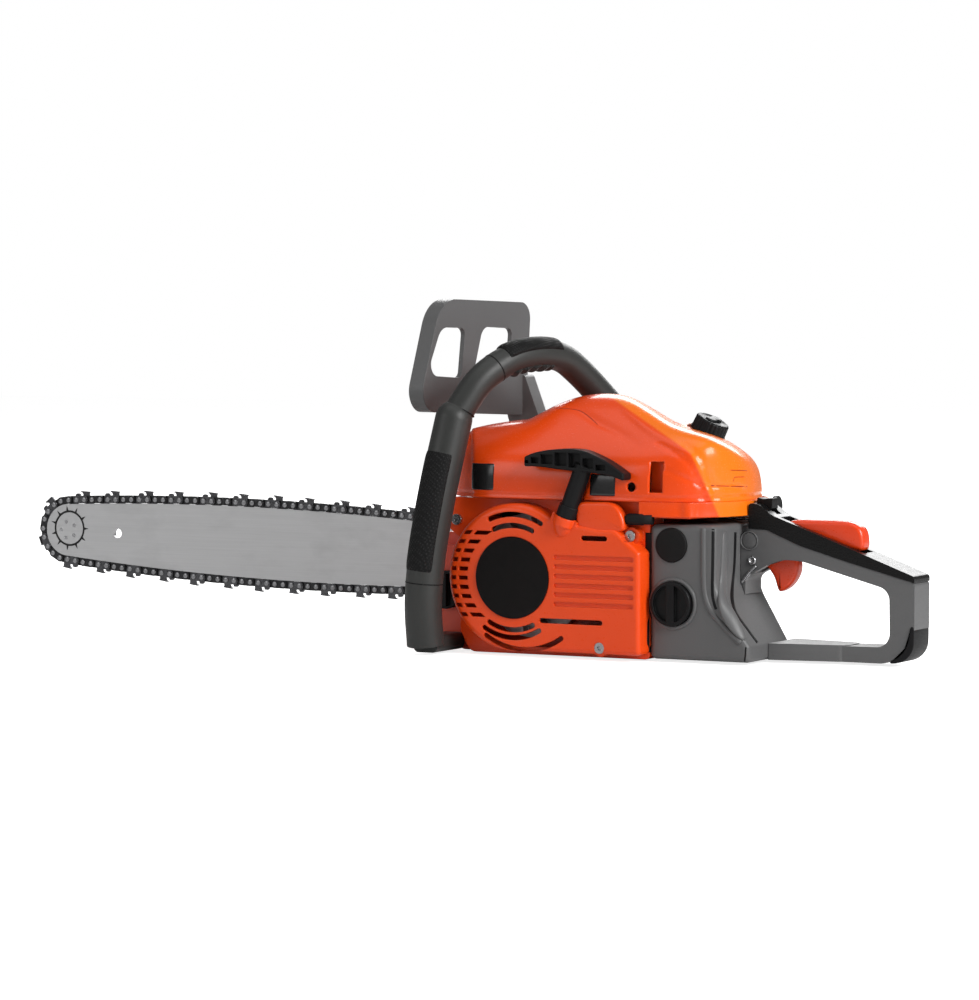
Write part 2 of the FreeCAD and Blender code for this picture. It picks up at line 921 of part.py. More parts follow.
def make_nose_sprocket():
    """The nose star on its race. Its teeth end short of the chain, so that it can turn alone."""
    half = bar_groove_width / 2 - bolt_gap
    tip = nose_radius - tang_depth - seat_gap * 2
    root = tip - link_thickness
    body = bar_y(nose_distance, 0, root, bar_plane - half, bar_plane + half)
    tooth = block(root - overrun, tip, bar_plane - half, bar_plane + half, -link_thickness, link_thickness)
    teeth = [body]
    for step in range(nose_sprocket_teeth):
        one = turned(tooth, vector(0, 0, 0), Y, 360 / nose_sprocket_teeth * step)
        one = moved(one, nose_distance, 0, 0)
        teeth.append(one.common(bar_y(nose_distance, 0, tip, bar_plane - half, bar_plane + half)))
    bore = bar_y(nose_distance, 0, nose_disc_radius + running_gap, bar_plane - overrun, bar_plane + overrun)
    return on_saw(join(teeth).cut(bore))


def make_nose_rivets():
    """The race disc's rivets, one group, with the race that they hold between the bar's plates."""
    half = bar_thickness / 2
    rivets = []
    for step in range(nose_rivet_count):
        angle = 2 * math.pi * step / nose_rivet_count
        x = nose_distance + nose_rivet_circle * math.cos(angle)
        z = nose_rivet_circle * math.sin(angle)
        rivets.append(bar_y(x, z, nose_rivet_radius, bar_plane - half, bar_plane + half))
    race_half = bar_groove_width / 2 - running_gap
    race = bar_y(nose_distance, 0, nose_disc_radius, bar_plane - race_half, bar_plane + race_half)
    return on_saw(join(rivets + [race]))


def side_plate(top, bottom, thickness):
    """One chain link seen from its side: two round ends on the rivets, joined by a waist."""
    half = chain_pitch / 2
    points = [
        (-half - link_end_radius, bottom, link_end_radius),
        (half + link_end_radius, bottom, link_end_radius),
        (half + link_end_radius, top, link_end_radius),
        (-half - link_end_radius, top, link_end_radius),
    ]
    return prism(points, "xz", 0, thickness)


def make_drive_link():
    """A drive link with its tang, at the origin, its rivets half a pitch to each side."""
    half = chain_pitch / 2
    end = half - bolt_gap
    plate = side_plate(link_end_radius, -link_end_radius, link_thickness)
    tang = prism([
        (-end, -rivet_radius, 0),
        (end, -rivet_radius, 0),
        (tang_width / 2, -tang_depth, link_end_radius / 3),
        (-tang_width / 4, -tang_depth, link_end_radius / 3),
        (-end, -link_end_radius, 0),
    ], "xz", 0, link_thickness)
    link = plate.fuse(tang)
    slim = block(-half - link_end_radius, half + link_end_radius, 0, link_thickness, -tang_depth,
                 link_end_radius)
    link = link.common(slim)
    for side in (-half, half):
        hole = bar_y(side, 0, rivet_radius + bolt_gap, -overrun, overrun)
        link = link.cut(hole)
    trim = chain_pitch - bolt_gap
    link = link.common(block(-trim, trim, 0, link_thickness, -tang_depth, link_end_radius))
    return moved(link.removeSplitter(), 0, -link_thickness / 2, 0)


def strap_pair():
    """Two tie straps with the rivets that join them."""
    half = chain_pitch / 2
    outer = link_thickness / 2 + bolt_gap / 2
    plate = side_plate(link_end_radius, -link_end_radius + seat_gap, strap_thickness)
    left = moved(plate, 0, outer, 0)
    right = moved(plate, 0, -outer - strap_thickness, 0)
    pieces = [left, right]
    reach = outer + strap_thickness + rivet_head_height
    for side in (-half, half):
        pieces.append(bar_y(side, 0, rivet_radius, -reach, reach))
        pieces.append(bar_y(side, 0, rivet_head_radius, -reach, -reach + rivet_head_height * 2))
        pieces.append(bar_y(side, 0, rivet_head_radius, reach - rivet_head_height * 2, reach))
    return join(pieces)


def make_cutter(side):
    """A cutter unit: a strap pair with a depth gauge in front and a hooked tooth behind, on one side."""
    half = chain_pitch / 2
    unit = strap_pair()
    outer = link_thickness / 2 + bolt_gap / 2
    plate_low = side * outer
    plate_high = side * (outer + strap_thickness)
    gauge = prism([
        (half * 0.25, 0, 0),
        (half + link_end_radius * 0.9, 0, 0),
        (half + link_end_radius * 0.7, gauge_height, rivet_radius),
        (half * 0.55, gauge_height, rivet_radius / 2),
    ], "xz", min(plate_low, plate_high), max(plate_low, plate_high))
    tooth = prism([
        (-half - link_end_radius, 0, 0),
        (-half * 0.1, 0, 0),
        (-half * 0.35, cutter_height * 0.6, rivet_radius / 2),
        (half * 0.1, cutter_height, 0),
        (-half - link_end_radius, cutter_height - cutter_top_thickness * 0.6, 0),
    ], "xz", min(plate_low, plate_high), max(plate_low, plate_high))
    top = prism([
        (-half - link_end_radius, cutter_height - cutter_top_thickness * 1.6, 0),
        (half * 0.1, cutter_height - cutter_top_thickness, 0),
        (half * 0.1, cutter_height, 0),
        (-half - link_end_radius, cutter_height - cutter_top_thickness * 0.6, 0),
    ], "xz", min(0, side * (outer + cutter_kerf)), max(0, side * (outer + cutter_kerf)))
    return join([unit, gauge, tooth, top])


def place_link(shape, first_rivet):
    """Set a link on the loop, between one rivet and the next."""
    total = 2 * drive_link_count * chain_pitch
    a = loop_point(first_rivet * chain_pitch % total)
    b = loop_point((first_rivet + 1) * chain_pitch % total)
    angle = math.degrees(math.atan2(b[1] - a[1], b[0] - a[0]))
    placed = turned(shape, vector(0, 0, 0), Y, -angle)
    placed.translate(vector((a[0] + b[0]) / 2, bar_plane, (a[1] + b[1]) / 2))
    return on_saw(placed)


def make_chain():
    drive = make_drive_link()
    tie = strap_pair()
    cutters = {1: make_cutter(1), -1: make_cutter(-1)}
    drives, ties, teeth = [], [], []
    for index in range(drive_link_count):
        drives.append(place_link(drive, 2 * index))
        if index % 2:
            ties.append(place_link(tie, 2 * index + 1))
        else:
            side = 1 if index % 4 else -1
            teeth.append(place_link(cutters[side], 2 * index + 1))
    return Part.makeCompound(drives), Part.makeCompound(ties), Part.makeCompound(teeth)


# Crankcase

def case_points():
    return [
        (case_rear, 0, case_corner_radius / 2),
        (case_front - case_chin_length, 0, case_corner_radius),
        (case_front, case_chin_height, case_corner_radius),
        (case_front, case_top - case_corner_radius, case_corner_radius / 2),
        (case_front - case_corner_radius, case_top, case_corner_radius / 2),
        (case_rear, case_top, case_corner_radius / 2),
    ]


def crank_room():
    """The hollow that the crankshaft, its bearings and the connecting rod turn in."""
    chamber = bar_y(0, crank_height, crank_chamber_radius, -crank_chamber_half_width,
                    crank_chamber_half_width)
    neck = block(-chamber_neck_half_width, chamber_neck_half_width, -crank_chamber_half_width,
                 crank_chamber_half_width, crank_height, case_top + overrun)
    seat_reach = crank_chamber_half_width + bearing_width
    seats = bar_y(0, crank_height, bearing_outer_radius + running_gap, -seat_reach, seat_reach)
    shaft = bar_y(0, crank_height, shaft_hole_radius, case_right - overrun, case_left + overrun)
    return [chamber, neck, seats, shaft, bar_z(0, 0, chamber_neck_half_width, crank_height,
                                               case_top + overrun)]


def oil_room():
    return prism(rectangle(oil_tank_rear + oil_tank_wall, case_front - oil_tank_wall * 2,
                           case_chin_height - oil_tank_wall, oil_tank_top, case_corner_radius),
                 "xz", case_right + oil_tank_wall * 5, oil_tank_left - oil_tank_wall)


def case_screw_places():
    """Where the two halves are screwed together, around the crank chamber."""
    reach = crank_chamber_radius + case_corner_radius
    low = crank_height - reach
    return [(-reach, low), (reach, low), (-reach, case_top - case_corner_radius),
            (reach, case_top - case_corner_radius), (case_rear + case_corner_radius * 2, crank_height)]


def make_crankcase_left():
    body = prism(case_points(), "xz", 0, case_left)
    tank = prism(rectangle(oil_tank_rear, case_front, case_chin_height / 3, case_top - case_corner_radius,
                           case_corner_radius), "xz", case_left - overrun, oil_tank_left)
    tank = tank.common(prism(case_points(), "xz", 0, oil_tank_left))
    wall = block(case_rear, duct_front, case_left - duct_wall, case_left, case_top - overrun,
                 cover_low - seat_gap)
    window = block(-duct_window_half_width, duct_window_half_width, case_left - duct_wall * 2,
                   case_left + overrun, case_top + seat_gap, case_top + duct_window_height)
    neck = bar_y(oil_cap_x, oil_cap_z, oil_neck_radius, oil_tank_left - oil_tank_wall * 2,
                 oil_tank_left + overrun)
    bosses = []
    for x, y, z in cover_screw_places():
        bosses.append(bar_y(x, z, cover_boss_radius, cover_boss_depth, case_left))
    reach = prism(rectangle(case_rear, duct_front, case_chin_height, cover_low - seat_gap, 0),
                  "xz", cover_boss_depth, case_left)
    half = join([body, tank, wall.cut(window)] + [boss.common(reach) for boss in bosses])
    half = cut_all(half, crank_room() + [oil_room(), neck])
    for x, z in case_screw_places():
        half = half.cut(bar_y(x, z, engine_screw_radius - running_gap, -overrun, case_left * 0.6))
    for x, y, z in cover_screw_places():
        half = half.cut(bar_y(x, z, screw_radius, cover_boss_depth + bolt_gap, case_left + overrun))
    for x, y in cylinder_screw_places():
        half = half.cut(bar_z(x, y, engine_screw_radius + bolt_gap, case_top - case_corner_radius,
                              case_top + overrun))
    return half


def make_crankcase_right():
    body = prism(case_points(), "xz", case_right, 0)
    pad_y = bar_plane + bar_thickness / 2
    pad = prism(rectangle(bar_pad_rear, bar_pad_front, bar_pad_low, bar_pad_high, case_corner_radius / 2),
                "xz", pad_y, case_right + overrun)
    wall = block(case_rear, duct_front, case_right, case_right + duct_wall, case_top - overrun,
                 cover_low - seat_gap)
    half = join([body, pad, wall])
    half = cut_all(half, crank_room() + [oil_room()])
    pump_room = block(pump_rear - seat_gap, worm_radius * 1.6, case_right - overrun,
                      case_right + duct_wall * 2,
                      pump_low - seat_gap, crank_height)
    half = half.cut(pump_room.cut(bar_y(0, crank_height, bearing_outer_radius, case_right - overrun,
                                        case_left)))
    screw_room = bar_x(tension_y, tension_z, tension_screw_radius + bolt_gap, tension_rear - overrun,
                       tension_front + overrun)
    slide = tension_block / 2 + bolt_gap
    block_room = block(tension_rear, bar_pad_front - duct_wall, pad_y - overrun, tension_y + slide,
                       tension_z - slide, tension_z + slide)
    half = cut_all(half, [screw_room, block_room])
    for x, z in stud_places():
        half = half.cut(bar_y(x, z, stud_radius, pad_y - overrun, stud_root))
    for x, z in case_screw_places():
        half = half.cut(bar_y(x, z, engine_screw_radius + bolt_gap, case_right - overrun, overrun))
        half = half.cut(bar_y(x, z, engine_screw_head_radius + bolt_gap, case_right - overrun,
                              case_right + engine_screw_head_height))
    for x, y in cylinder_screw_places():
        half = half.cut(bar_z(x, y, engine_screw_radius + bolt_gap, case_top - case_corner_radius,
                              case_top + overrun))
    return half


def cylinder_screw_places():
    reach = cylinder_base_half_width - engine_screw_head_radius
    return [(-reach, -reach), (reach, -reach), (-reach, reach), (reach, reach)]


def cap_screw(head, direction, length):
    """A socket-headed screw: its head rests at the point head and its shank runs along direction."""
    shank = round_bar(head, direction, engine_screw_radius - running_gap, length)
    top = round_bar(head - direction * engine_screw_head_height, direction, engine_screw_head_radius,
                    engine_screw_head_height)
    socket = round_bar(head - direction * (engine_screw_head_height + overrun), direction,
                       screw_socket_radius,
                       overrun + engine_screw_head_height * 0.6)
    return join([shank, top]).cut(socket)


def make_engine_screws():
    screws = []
    reach = -case_right + case_left * 0.5
    for x, z in case_screw_places():
        head = vector(x, case_right + engine_screw_head_height, z)
        screws.append(cap_screw(head, Y, reach - engine_screw_head_height))
    for x, y in cylinder_screw_places():
        head = vector(x, y, case_top + cylinder_base_height)
        screws.append(cap_screw(head, -Z, cylinder_base_height + case_corner_radius - bolt_gap))
    return Part.makeCompound(screws)


# Engine

def make_cylinder():
    base = block(-cylinder_base_half_width, cylinder_base_half_width, -cylinder_base_half_width,
                 cylinder_base_half_width, case_top, case_top + cylinder_base_height)
    barrel = bar_z(0, 0, cylinder_barrel_radius, case_top, fin_high)
    parts = [base, barrel]
    pitch = (fin_high - fin_low - fin_thickness) / (fin_count - 1)
    for index in range(fin_count):
        low = fin_low + pitch * index
        corner = cylinder_half_width / 3
        parts.append(prism(rectangle(-cylinder_half_width, cylinder_half_width, -cylinder_half_width,
                                     cylinder_half_width, corner), "xy", low, low + fin_thickness))
    parts.append(block(0, exhaust_reach, -port_half_width, port_half_width, port_low, port_high))
    parts.append(block(-intake_reach, 0, -port_half_width, port_half_width, port_low, port_high))
    port_z = (port_low + port_high) / 2
    body = join(parts)
    bore = bar_z(0, 0, bore_radius, case_top - overrun, bore_top)
    exhaust = bar_x(0, port_z, port_radius, 0, exhaust_reach + overrun)
    intake = bar_x(0, port_z, port_radius, -intake_reach - overrun, 0)
    plug = plug_shape(plug_thread_radius + running_gap, plug_thread_length + overrun, -overrun)
    body = cut_all(body, [bore, exhaust, intake, plug])
    seat = plug_shape(plug_hex_radius + bolt_gap * 2, plug_hex_height + overrun * 3, plug_thread_length)
    body = body.cut(seat)
    for x, y in cylinder_screw_places():
        body = body.cut(bar_z(x, y, engine_screw_radius + bolt_gap, case_top - overrun,
                              case_top + overrun * 2))
        body = body.cut(bar_z(x, y, engine_screw_head_radius + seat_gap, case_top + cylinder_base_height,
                              case_top + cylinder_base_height + overrun * 2))
    return body


def plug_direction():
    angle = math.radians(plug_tilt_deg)
    return vector(-math.sin(angle), 0, math.cos(angle))


def plug_foot():
    return vector(-bore_radius * 0.15, 0, bore_top - overrun * 0.2)


def plug_shape(radius, length, start):
    """A round bar on the spark plug's axis, from start along it."""
    return round_bar(plug_foot() + plug_direction() * start, plug_direction(), radius, length)


def make_spark_plug():
    thread = plug_shape(plug_thread_radius, plug_thread_length, 0)
    collar = plug_shape(plug_hex_radius, plug_hex_height, plug_thread_length)
    top = plug_thread_length + plug_hex_height
    insulator = plug_shape(plug_insulator_radius, plug_insulator_height, top)
    tip = plug_shape(plug_insulator_radius / 2, plug_insulator_height * 0.2, top + plug_insulator_height)
    return join([thread, collar, insulator, tip])


def make_plug_boot():
    start = plug_thread_length + plug_hex_height + seat_gap
    shell = plug_shape(boot_radius, boot_height + boot_wall, start)
    room = plug_shape(plug_insulator_radius + running_gap, plug_insulator_height * 1.2 + bolt_gap,
                      start - seat_gap)
    arm_start = plug_foot() + plug_direction() * (start + boot_height * 0.7)
    arm = round_bar(arm_start, Y, boot_arm_radius, boot_arm_length)
    return join([shell, arm]).cut(room)


def make_piston():
    pin_z = crank_height + crank_throw + rod_length
    body = bar_z(0, 0, piston_radius, pin_z - piston_skirt, pin_z + piston_crown)
    room = bar_z(0, 0, piston_radius - piston_wall, pin_z - piston_skirt - overrun,
                 pin_z + piston_crown * 0.5)
    body = body.cut(room)
    for index in range(2):
        low = pin_z + piston_crown - ring_groove_pitch * (index + 1)
        groove = bar_z(0, 0, piston_radius + overrun, low, low + ring_groove_height)
        groove = groove.cut(bar_z(0, 0, piston_radius - ring_groove_depth, low - overrun, low + overrun))
        body = body.cut(groove)
    boss_inner = rod_thickness / 2 + seat_gap
    bosses = []
    for side in (-1, 1):
        boss = bar_y(0, pin_z, rod_small_end_radius, side * boss_inner,
                     side * (piston_radius - piston_wall))
        bosses.append(boss.common(bar_z(0, 0, piston_radius - running_gap, pin_z - piston_skirt,
                                        pin_z + piston_crown)))
    body = join([body] + bosses)
    return body.cut(bar_y(0, pin_z, piston_pin_radius + running_gap, -piston_radius * 2, piston_radius * 2))


def make_piston_pin():
    pin_z = crank_height + crank_throw + rod_length
    pin = bar_y(0, pin_z, piston_pin_radius, -piston_pin_half_length, piston_pin_half_length)
    return pin.cut(bar_y(0, pin_z, piston_pin_radius * 0.5, -piston_radius * 2, piston_radius * 2))


def make_connecting_rod():
    big_z = crank_height + crank_throw
    small_z = big_z + rod_length
    half = rod_thickness / 2
    big = bar_y(0, big_z, rod_big_end_radius, -half, half)
    small = bar_y(0, small_z, rod_small_end_radius, -half, half)
    beam = block(-rod_beam_half_width, rod_beam_half_width, -half * 0.8, half * 0.8, big_z, small_z)
    rod = join([big, small, beam])
    rod = rod.cut(bar_y(0, big_z, crank_pin_radius + running_gap, -half * 2, half * 2))
    return rod.cut(bar_y(0, small_z, piston_pin_radius + running_gap, -half * 2, half * 2))


def make_crankshaft():
    """Two webs and their pin, with the flywheel end on the left and the clutch end on the right."""
    inner = rod_thickness / 2 + seat_gap
    parts = [bar_y(0, crank_height + crank_throw, crank_pin_radius, -inner - overrun / 2,
                   inner + overrun / 2)]
    for side in (-1, 1):
        web = bar_y(0, crank_height, crank_web_radius, side * inner, side * (inner + crank_web_thickness))
        relief = block(-crank_web_radius * 2, crank_web_radius * 2, side * inner * 0.5,
                       side * (inner + crank_web_thickness) * 2, crank_height + crank_web_radius * 0.2,
                       crank_height + crank_web_radius * 2)
        cheek = bar_y(0, crank_height + crank_throw, crank_web_radius - crank_throw, side * inner,
                      side * (inner + crank_web_thickness))
        neck = block(-crank_shaft_radius, crank_shaft_radius, side * inner,
                     side * (inner + crank_web_thickness),
                     crank_height, crank_height + crank_throw)
        parts += [web.cut(relief), cheek, neck]
        parts.append(bar_y(0, crank_height, bearing_bore_radius, side * (inner + crank_web_thickness),
                           side * (crank_chamber_half_width + bearing_width)))
    parts.append(bar_y(0, crank_height, crank_shaft_radius, inner + crank_web_thickness, crank_left_end))
    parts.append(bar_y(0, crank_height, crank_shaft_radius, crank_right_end, -inner - crank_web_thickness))
    return join(parts)


def make_crank_bearings():
    rings = []
    for side in (-1, 1):
        low = side * crank_chamber_half_width
        high = side * (crank_chamber_half_width + bearing_width)
        outer = bar_y(0, crank_height, bearing_outer_radius, low, high)
        outer = outer.cut(bar_y(0, crank_height, bearing_outer_radius - bearing_ring,
                                low - overrun * side, high + overrun * side))
        inner = bar_y(0, crank_height, bearing_bore_radius + bearing_ring, low, high)
        inner = inner.cut(bar_y(0, crank_height, bearing_bore_radius + running_gap, low - overrun * side,
                                high + overrun * side))
        middle = (low + high) / 2
        ball = (bearing_outer_radius - bearing_bore_radius - 2 * bearing_ring) / 2 + bearing_ring / 4
        circle = (bearing_outer_radius + bearing_bore_radius) / 2
        path = Part.makeTorus(circle, ball + running_gap, vector(0, middle, crank_height), Y)
        rings += [outer.cut(path), inner.cut(path)]
        count = 8
        for step in range(count):
            angle = 2 * math.pi * step / count
            place = vector(circle * math.cos(angle), middle, crank_height + circle * math.sin(angle))
            rings.append(Part.makeSphere(ball, place))
    return Part.makeCompound(rings)


def make_muffler():
    rear = exhaust_reach + muffler_rear_gap
    shape = prism(rectangle(-muffler_half_width, muffler_half_width, muffler_low, muffler_high,
                            muffler_corner),
                  "yz", rear, muffler_front)
    room = prism(rectangle(-muffler_half_width, muffler_half_width, muffler_low, muffler_high,
                           muffler_corner),
                 "yz", rear + muffler_wall, muffler_front - muffler_wall, muffler_wall)
    parts = [shape.cut(room)]
    pitch = (muffler_high - muffler_low) / (muffler_rib_count + 2)
    for index in range(muffler_rib_count):
        z = muffler_low + pitch * (index + 0.8)
        rib = block(muffler_front - muffler_wall, muffler_front + muffler_rib_height,
                    -muffler_half_width * 0.7,
                    muffler_half_width * 0.7, z, z + muffler_rib_height * 2)
        parts.append(rib)
    spout = bar_x(muffler_outlet_y, muffler_outlet_z, muffler_outlet_radius, muffler_front - muffler_wall,
                  muffler_front + muffler_outlet_length)
    spout_room = bar_x(muffler_outlet_y, muffler_outlet_z, muffler_outlet_radius - muffler_wall,
                       muffler_front - muffler_wall * 3, muffler_front + muffler_outlet_length + overrun)
    port_z = (port_low + port_high) / 2
    inlet = bar_x(0, port_z, port_radius, rear - overrun, rear + muffler_wall * 2)
    return cut_all(join(parts + [spout]), [spout_room, inlet])


def make_intake_boot():
    port_z = (port_low + port_high) / 2
    body = bar_x(0, port_z, boot_rubber_radius, boot_rubber_rear, boot_rubber_front)
    waist = (boot_rubber_front - boot_rubber_rear) / 5
    for index in (1, 3):
        low = boot_rubber_rear + waist * index
        ring = bar_x(0, port_z, boot_rubber_radius + overrun, low, low + waist)
        body = body.cut(ring.cut(bar_x(0, port_z, boot_rubber_radius * 0.8, low - overrun,
                                       low + overrun * 2)))
    return body.cut(bar_x(0, port_z, carburettor_bore_radius, boot_rubber_rear - overrun,
                          boot_rubber_front + overrun))


def make_carburettor():
    body = prism(rectangle(carburettor_rear, carburettor_front, -carburettor_half_width,
                           carburettor_half_width,
                           carburettor_corner), "xy", carburettor_low, carburettor_high)
    middle = (carburettor_front + carburettor_rear) / 2
    bore = bar_x(0, carburettor_bore_z, carburettor_bore_radius, carburettor_rear - overrun,
                 carburettor_front + overrun)
    shaft = bar_z(span(carburettor_front, carburettor_rear, 0.8), carburettor_half_width * 0.5,
                  throttle_shaft_radius,
                  throttle_shaft_low, carburettor_low + overrun)
    lid = bar_z(middle, 0, carburettor_half_width * 0.7, carburettor_high - overrun,
                carburettor_high + overrun * 0.6)
    return join([body, lid, shaft]).cut(bore)


def make_air_filter():
    body = prism(rectangle(air_filter_rear, air_filter_front, -air_filter_half_width, air_filter_half_width,
                           air_filter_corner), "xy", air_filter_low, air_filter_high)
    pitch = air_filter_half_width * 2 / (air_filter_pleats + 1)
    for index in range(air_filter_pleats):
        y = -air_filter_half_width + pitch * (index + 1)
        body = body.cut(block(air_filter_rear - overrun, air_filter_front + overrun, y - pitch / 4,
                              y + pitch / 4,
                              air_filter_high - air_filter_pleat_depth, air_filter_high + overrun))
    post = bar_z(knob_x, 0, stud_post_radius, air_filter_low - overrun, air_filter_high + overrun)
    inlet = bar_x(0, carburettor_bore_z, carburettor_bore_radius, air_filter_front - overrun * 2,
                  air_filter_front + overrun)
    return cut_all(body, [post, inlet])


# Flywheel and starter

def make_flywheel():
    high = flywheel_inner_face + flywheel_disc_thickness
    disc = bar_y(0, crank_height, flywheel_radius, flywheel_inner_face, high)
    parts = [disc, bar_y(0, crank_height, flywheel_hub_radius, flywheel_inner_face,
                         high + flywheel_blade_height / 2)]
    blade = block(flywheel_hub_radius * 1.9, flywheel_radius - flywheel_blade_thickness, high - overrun / 2,
                  high + flywheel_blade_height, -flywheel_blade_thickness / 2, flywheel_blade_thickness / 2)
    blade = turned(blade, vector(flywheel_hub_radius * 1.9, 0, 0), Y, 22)
    for step in range(flywheel_blade_count):
        one = turned(blade, vector(0, 0, 0), Y, 360 / flywheel_blade_count * step)
        one = moved(one, 0, 0, crank_height)
        parts.append(one.common(bar_y(0, crank_height, flywheel_radius, flywheel_inner_face,
                                      high + flywheel_blade_height)))
    wheel = join(parts)
    return wheel.cut(bar_y(0, crank_height, crank_shaft_radius + running_gap, -crank_left_end,
                           crank_left_end * 2))


def make_starter_pawls():
    high = flywheel_inner_face + flywheel_disc_thickness
    pawls = []
    for step in range(2):
        pawl = prism(rectangle(pawl_circle_radius, pawl_circle_radius + pawl_height, -pawl_length / 2,
                               pawl_length / 2,
                               pawl_thickness), "xz", high, high + pawl_thickness)
        pawl = turned(pawl, vector(0, 0, 0), Y, 180 * step)
        pawls.append(moved(pawl, 0, 0, crank_height))
    return Part.makeCompound(pawls)


def make_ignition_coil():
    """The coil block with the two legs that face the flywheel's rim from above."""
    top = crank_height + flywheel_radius + coil_leg_gap
    low = flywheel_inner_face + running_gap
    legs = []
    for side in (-1, 1):
        x = side * coil_width * 0.35
        rise = flywheel_radius - math.sqrt(flywheel_radius ** 2 - x ** 2)
        legs.append(block(x - coil_width * 0.09, x + coil_width * 0.09, low, low + coil_depth * 0.3,
                          top, top + coil_height * 0.4 + rise))
    yoke = block(-coil_width * 0.5, coil_width * 0.5, low, low + coil_depth * 0.3, top + coil_height * 0.3,
                 top + coil_height * 0.5)
    foot = block(-coil_width * 0.5, coil_width * 0.5, case_left + bolt_gap, low + coil_depth * 0.3,
                 top + coil_height * 0.3, top + coil_height * 0.45)
    return join(legs + [yoke, foot])


def make_starter_pulley():
    body = bar_y(0, crank_height, pulley_radius, pulley_low, pulley_high)
    groove = bar_y(0, crank_height, pulley_radius + overrun, pulley_low + pulley_flange,
                   pulley_high - pulley_flange)
    groove = groove.cut(bar_y(0, crank_height, pulley_groove_radius, pulley_low, pulley_high))
    room = bar_y(0, crank_height, pulley_bore_radius + running_gap, pulley_low - overrun,
                 pulley_high + overrun)
    claw = bar_y(0, crank_height, pulley_groove_radius * 0.55, pulley_low - overrun * 0.6,
                 pulley_low + pulley_flange)
    claw_room = bar_y(0, crank_height, pulley_groove_radius * 0.45, pulley_low - overrun,
                      pulley_low + pulley_flange)
    notch = block(-pulley_radius, pulley_radius, pulley_low - overrun, pulley_low,
                  crank_height - pulley_flange,
                  crank_height + pulley_flange)
    claws = claw.cut(claw_room).cut(notch)
    return join([body.cut(groove), claws]).cut(room)


def make_starter_rope():
    """The rope wound on the pulley, as one ring of the turns' outer shape."""
    low = pulley_low + pulley_flange + running_gap
    high = pulley_high - pulley_flange - running_gap
    ring = bar_y(0, crank_height, pulley_groove_radius + rope_radius * 2, low, high)
    return ring.cut(bar_y(0, crank_height, pulley_groove_radius + running_gap, low - overrun,
                          high + overrun))


def make_recoil_spring():
    low = pulley_high + bolt_gap
    ring = bar_y(0, crank_height, spring_outer_radius, low, low + spring_width)
    return ring.cut(bar_y(0, crank_height, spring_inner_radius, low - overrun,
                          low + spring_width + overrun))


def rope_direction():
    lean = math.radians(rope_lean_deg)
    return vector(-math.sin(lean), 0, math.cos(lean))


def guide_place():
    return vector(guide_x, guide_y, guide_z)


def cover_points():
    return [
        (starter_rear, starter_low, starter_corner / 2),
        (starter_front - starter_corner, starter_low, starter_corner),
        (starter_front, starter_low + starter_corner * 2, starter_corner * 2),
        (starter_front, starter_ear_low, starter_corner / 3),
        (starter_ear_front, starter_ear_low + starter_corner, starter_corner / 3),
        (starter_ear_front, starter_high, starter_corner / 2),
        (starter_rear, starter_high, starter_corner / 3),
    ]


def panel_points():
    """The raised flat area of the starter cover behind the dome."""
    return [
        (panel_rear, panel_low, panel_corner / 3),
        (0, panel_low, panel_corner / 2),
        (dome_radius * 0.4, crank_height, 0),
        (0, crank_height + dome_radius * 0.9, 0),
        (guide_x * 1.6, panel_high, panel_corner),
        (corner_notch_front, panel_high, 0),
        (panel_rear, corner_notch_low, panel_corner / 3),
    ]


def arc_slot(centre_x, centre_z, radius, first_deg, last_deg, width, y0, y1):
    """A slot that follows an arc, with round ends."""
    ring = bar_y(centre_x, centre_z, radius + width / 2, y0, y1)
    ring = ring.cut(bar_y(centre_x, centre_z, radius - width / 2, y0 - overrun, y1 + overrun))
    reach = radius * 4
    middle = math.radians((first_deg + last_deg) / 2)
    corners = [vector(centre_x, y0, centre_z)]
    for angle in (math.radians(first_deg), middle, math.radians(last_deg)):
        corners.append(vector(centre_x + reach * math.cos(angle), y0, centre_z + reach * math.sin(angle)))
    wedge = Part.Face(Part.makePolygon(corners + [corners[0]])).extrude(Y * (y1 - y0))
    pieces = [ring.common(wedge)]
    for degrees in (first_deg, last_deg):
        angle = math.radians(degrees)
        x = centre_x + radius * math.cos(angle)
        z = centre_z + radius * math.sin(angle)
        pieces.append(bar_y(x, z, width / 2, y0, y1))
    return join(pieces)


def level_slot(front, rear, z, height, y0, y1):
    return prism(rectangle(rear, front, z - height / 2, z + height / 2, height / 2), "xz", y0, y1)


def vent_rows():
    """The two columns of short slots in front of the disc."""
    low = starter_face - starter_wall * 3
    high = starter_face + overrun
    rings = []
    for outer, inner in ((vent_outer_radius, vent_rib_outer_radius), (vent_rib_inner_radius,
        vent_inner_radius)):
        ring = bar_y(0, crank_height, outer, low, high)
        rings.append(ring.cut(bar_y(0, crank_height, inner, low - overrun, high + overrun)))
    columns = rings[0].fuse(rings[1])
    rows = []
    for index in range(vent_row_count):
        z = crank_height + vent_row_pitch * (index - (vent_row_count - 1) / 2) + vent_row_pitch * 0.3
        rows.append(block(0, vent_outer_radius + overrun, low, high, z - vent_row_height / 2,
                          z + vent_row_height / 2))
    return columns.common(Part.makeCompound(rows))


def cover_screw_places():
    """Starter cover screws: x, the y of the face that their heads rest on, and z."""
    return [
        (starter_ear_front - starter_corner, starter_flange, starter_high - starter_corner * 2),
        (corner_screw_x, starter_face - corner_notch_depth, corner_screw_z),
        (low_screw_x, starter_face - screw_head_height, starter_low + starter_corner),
    ]


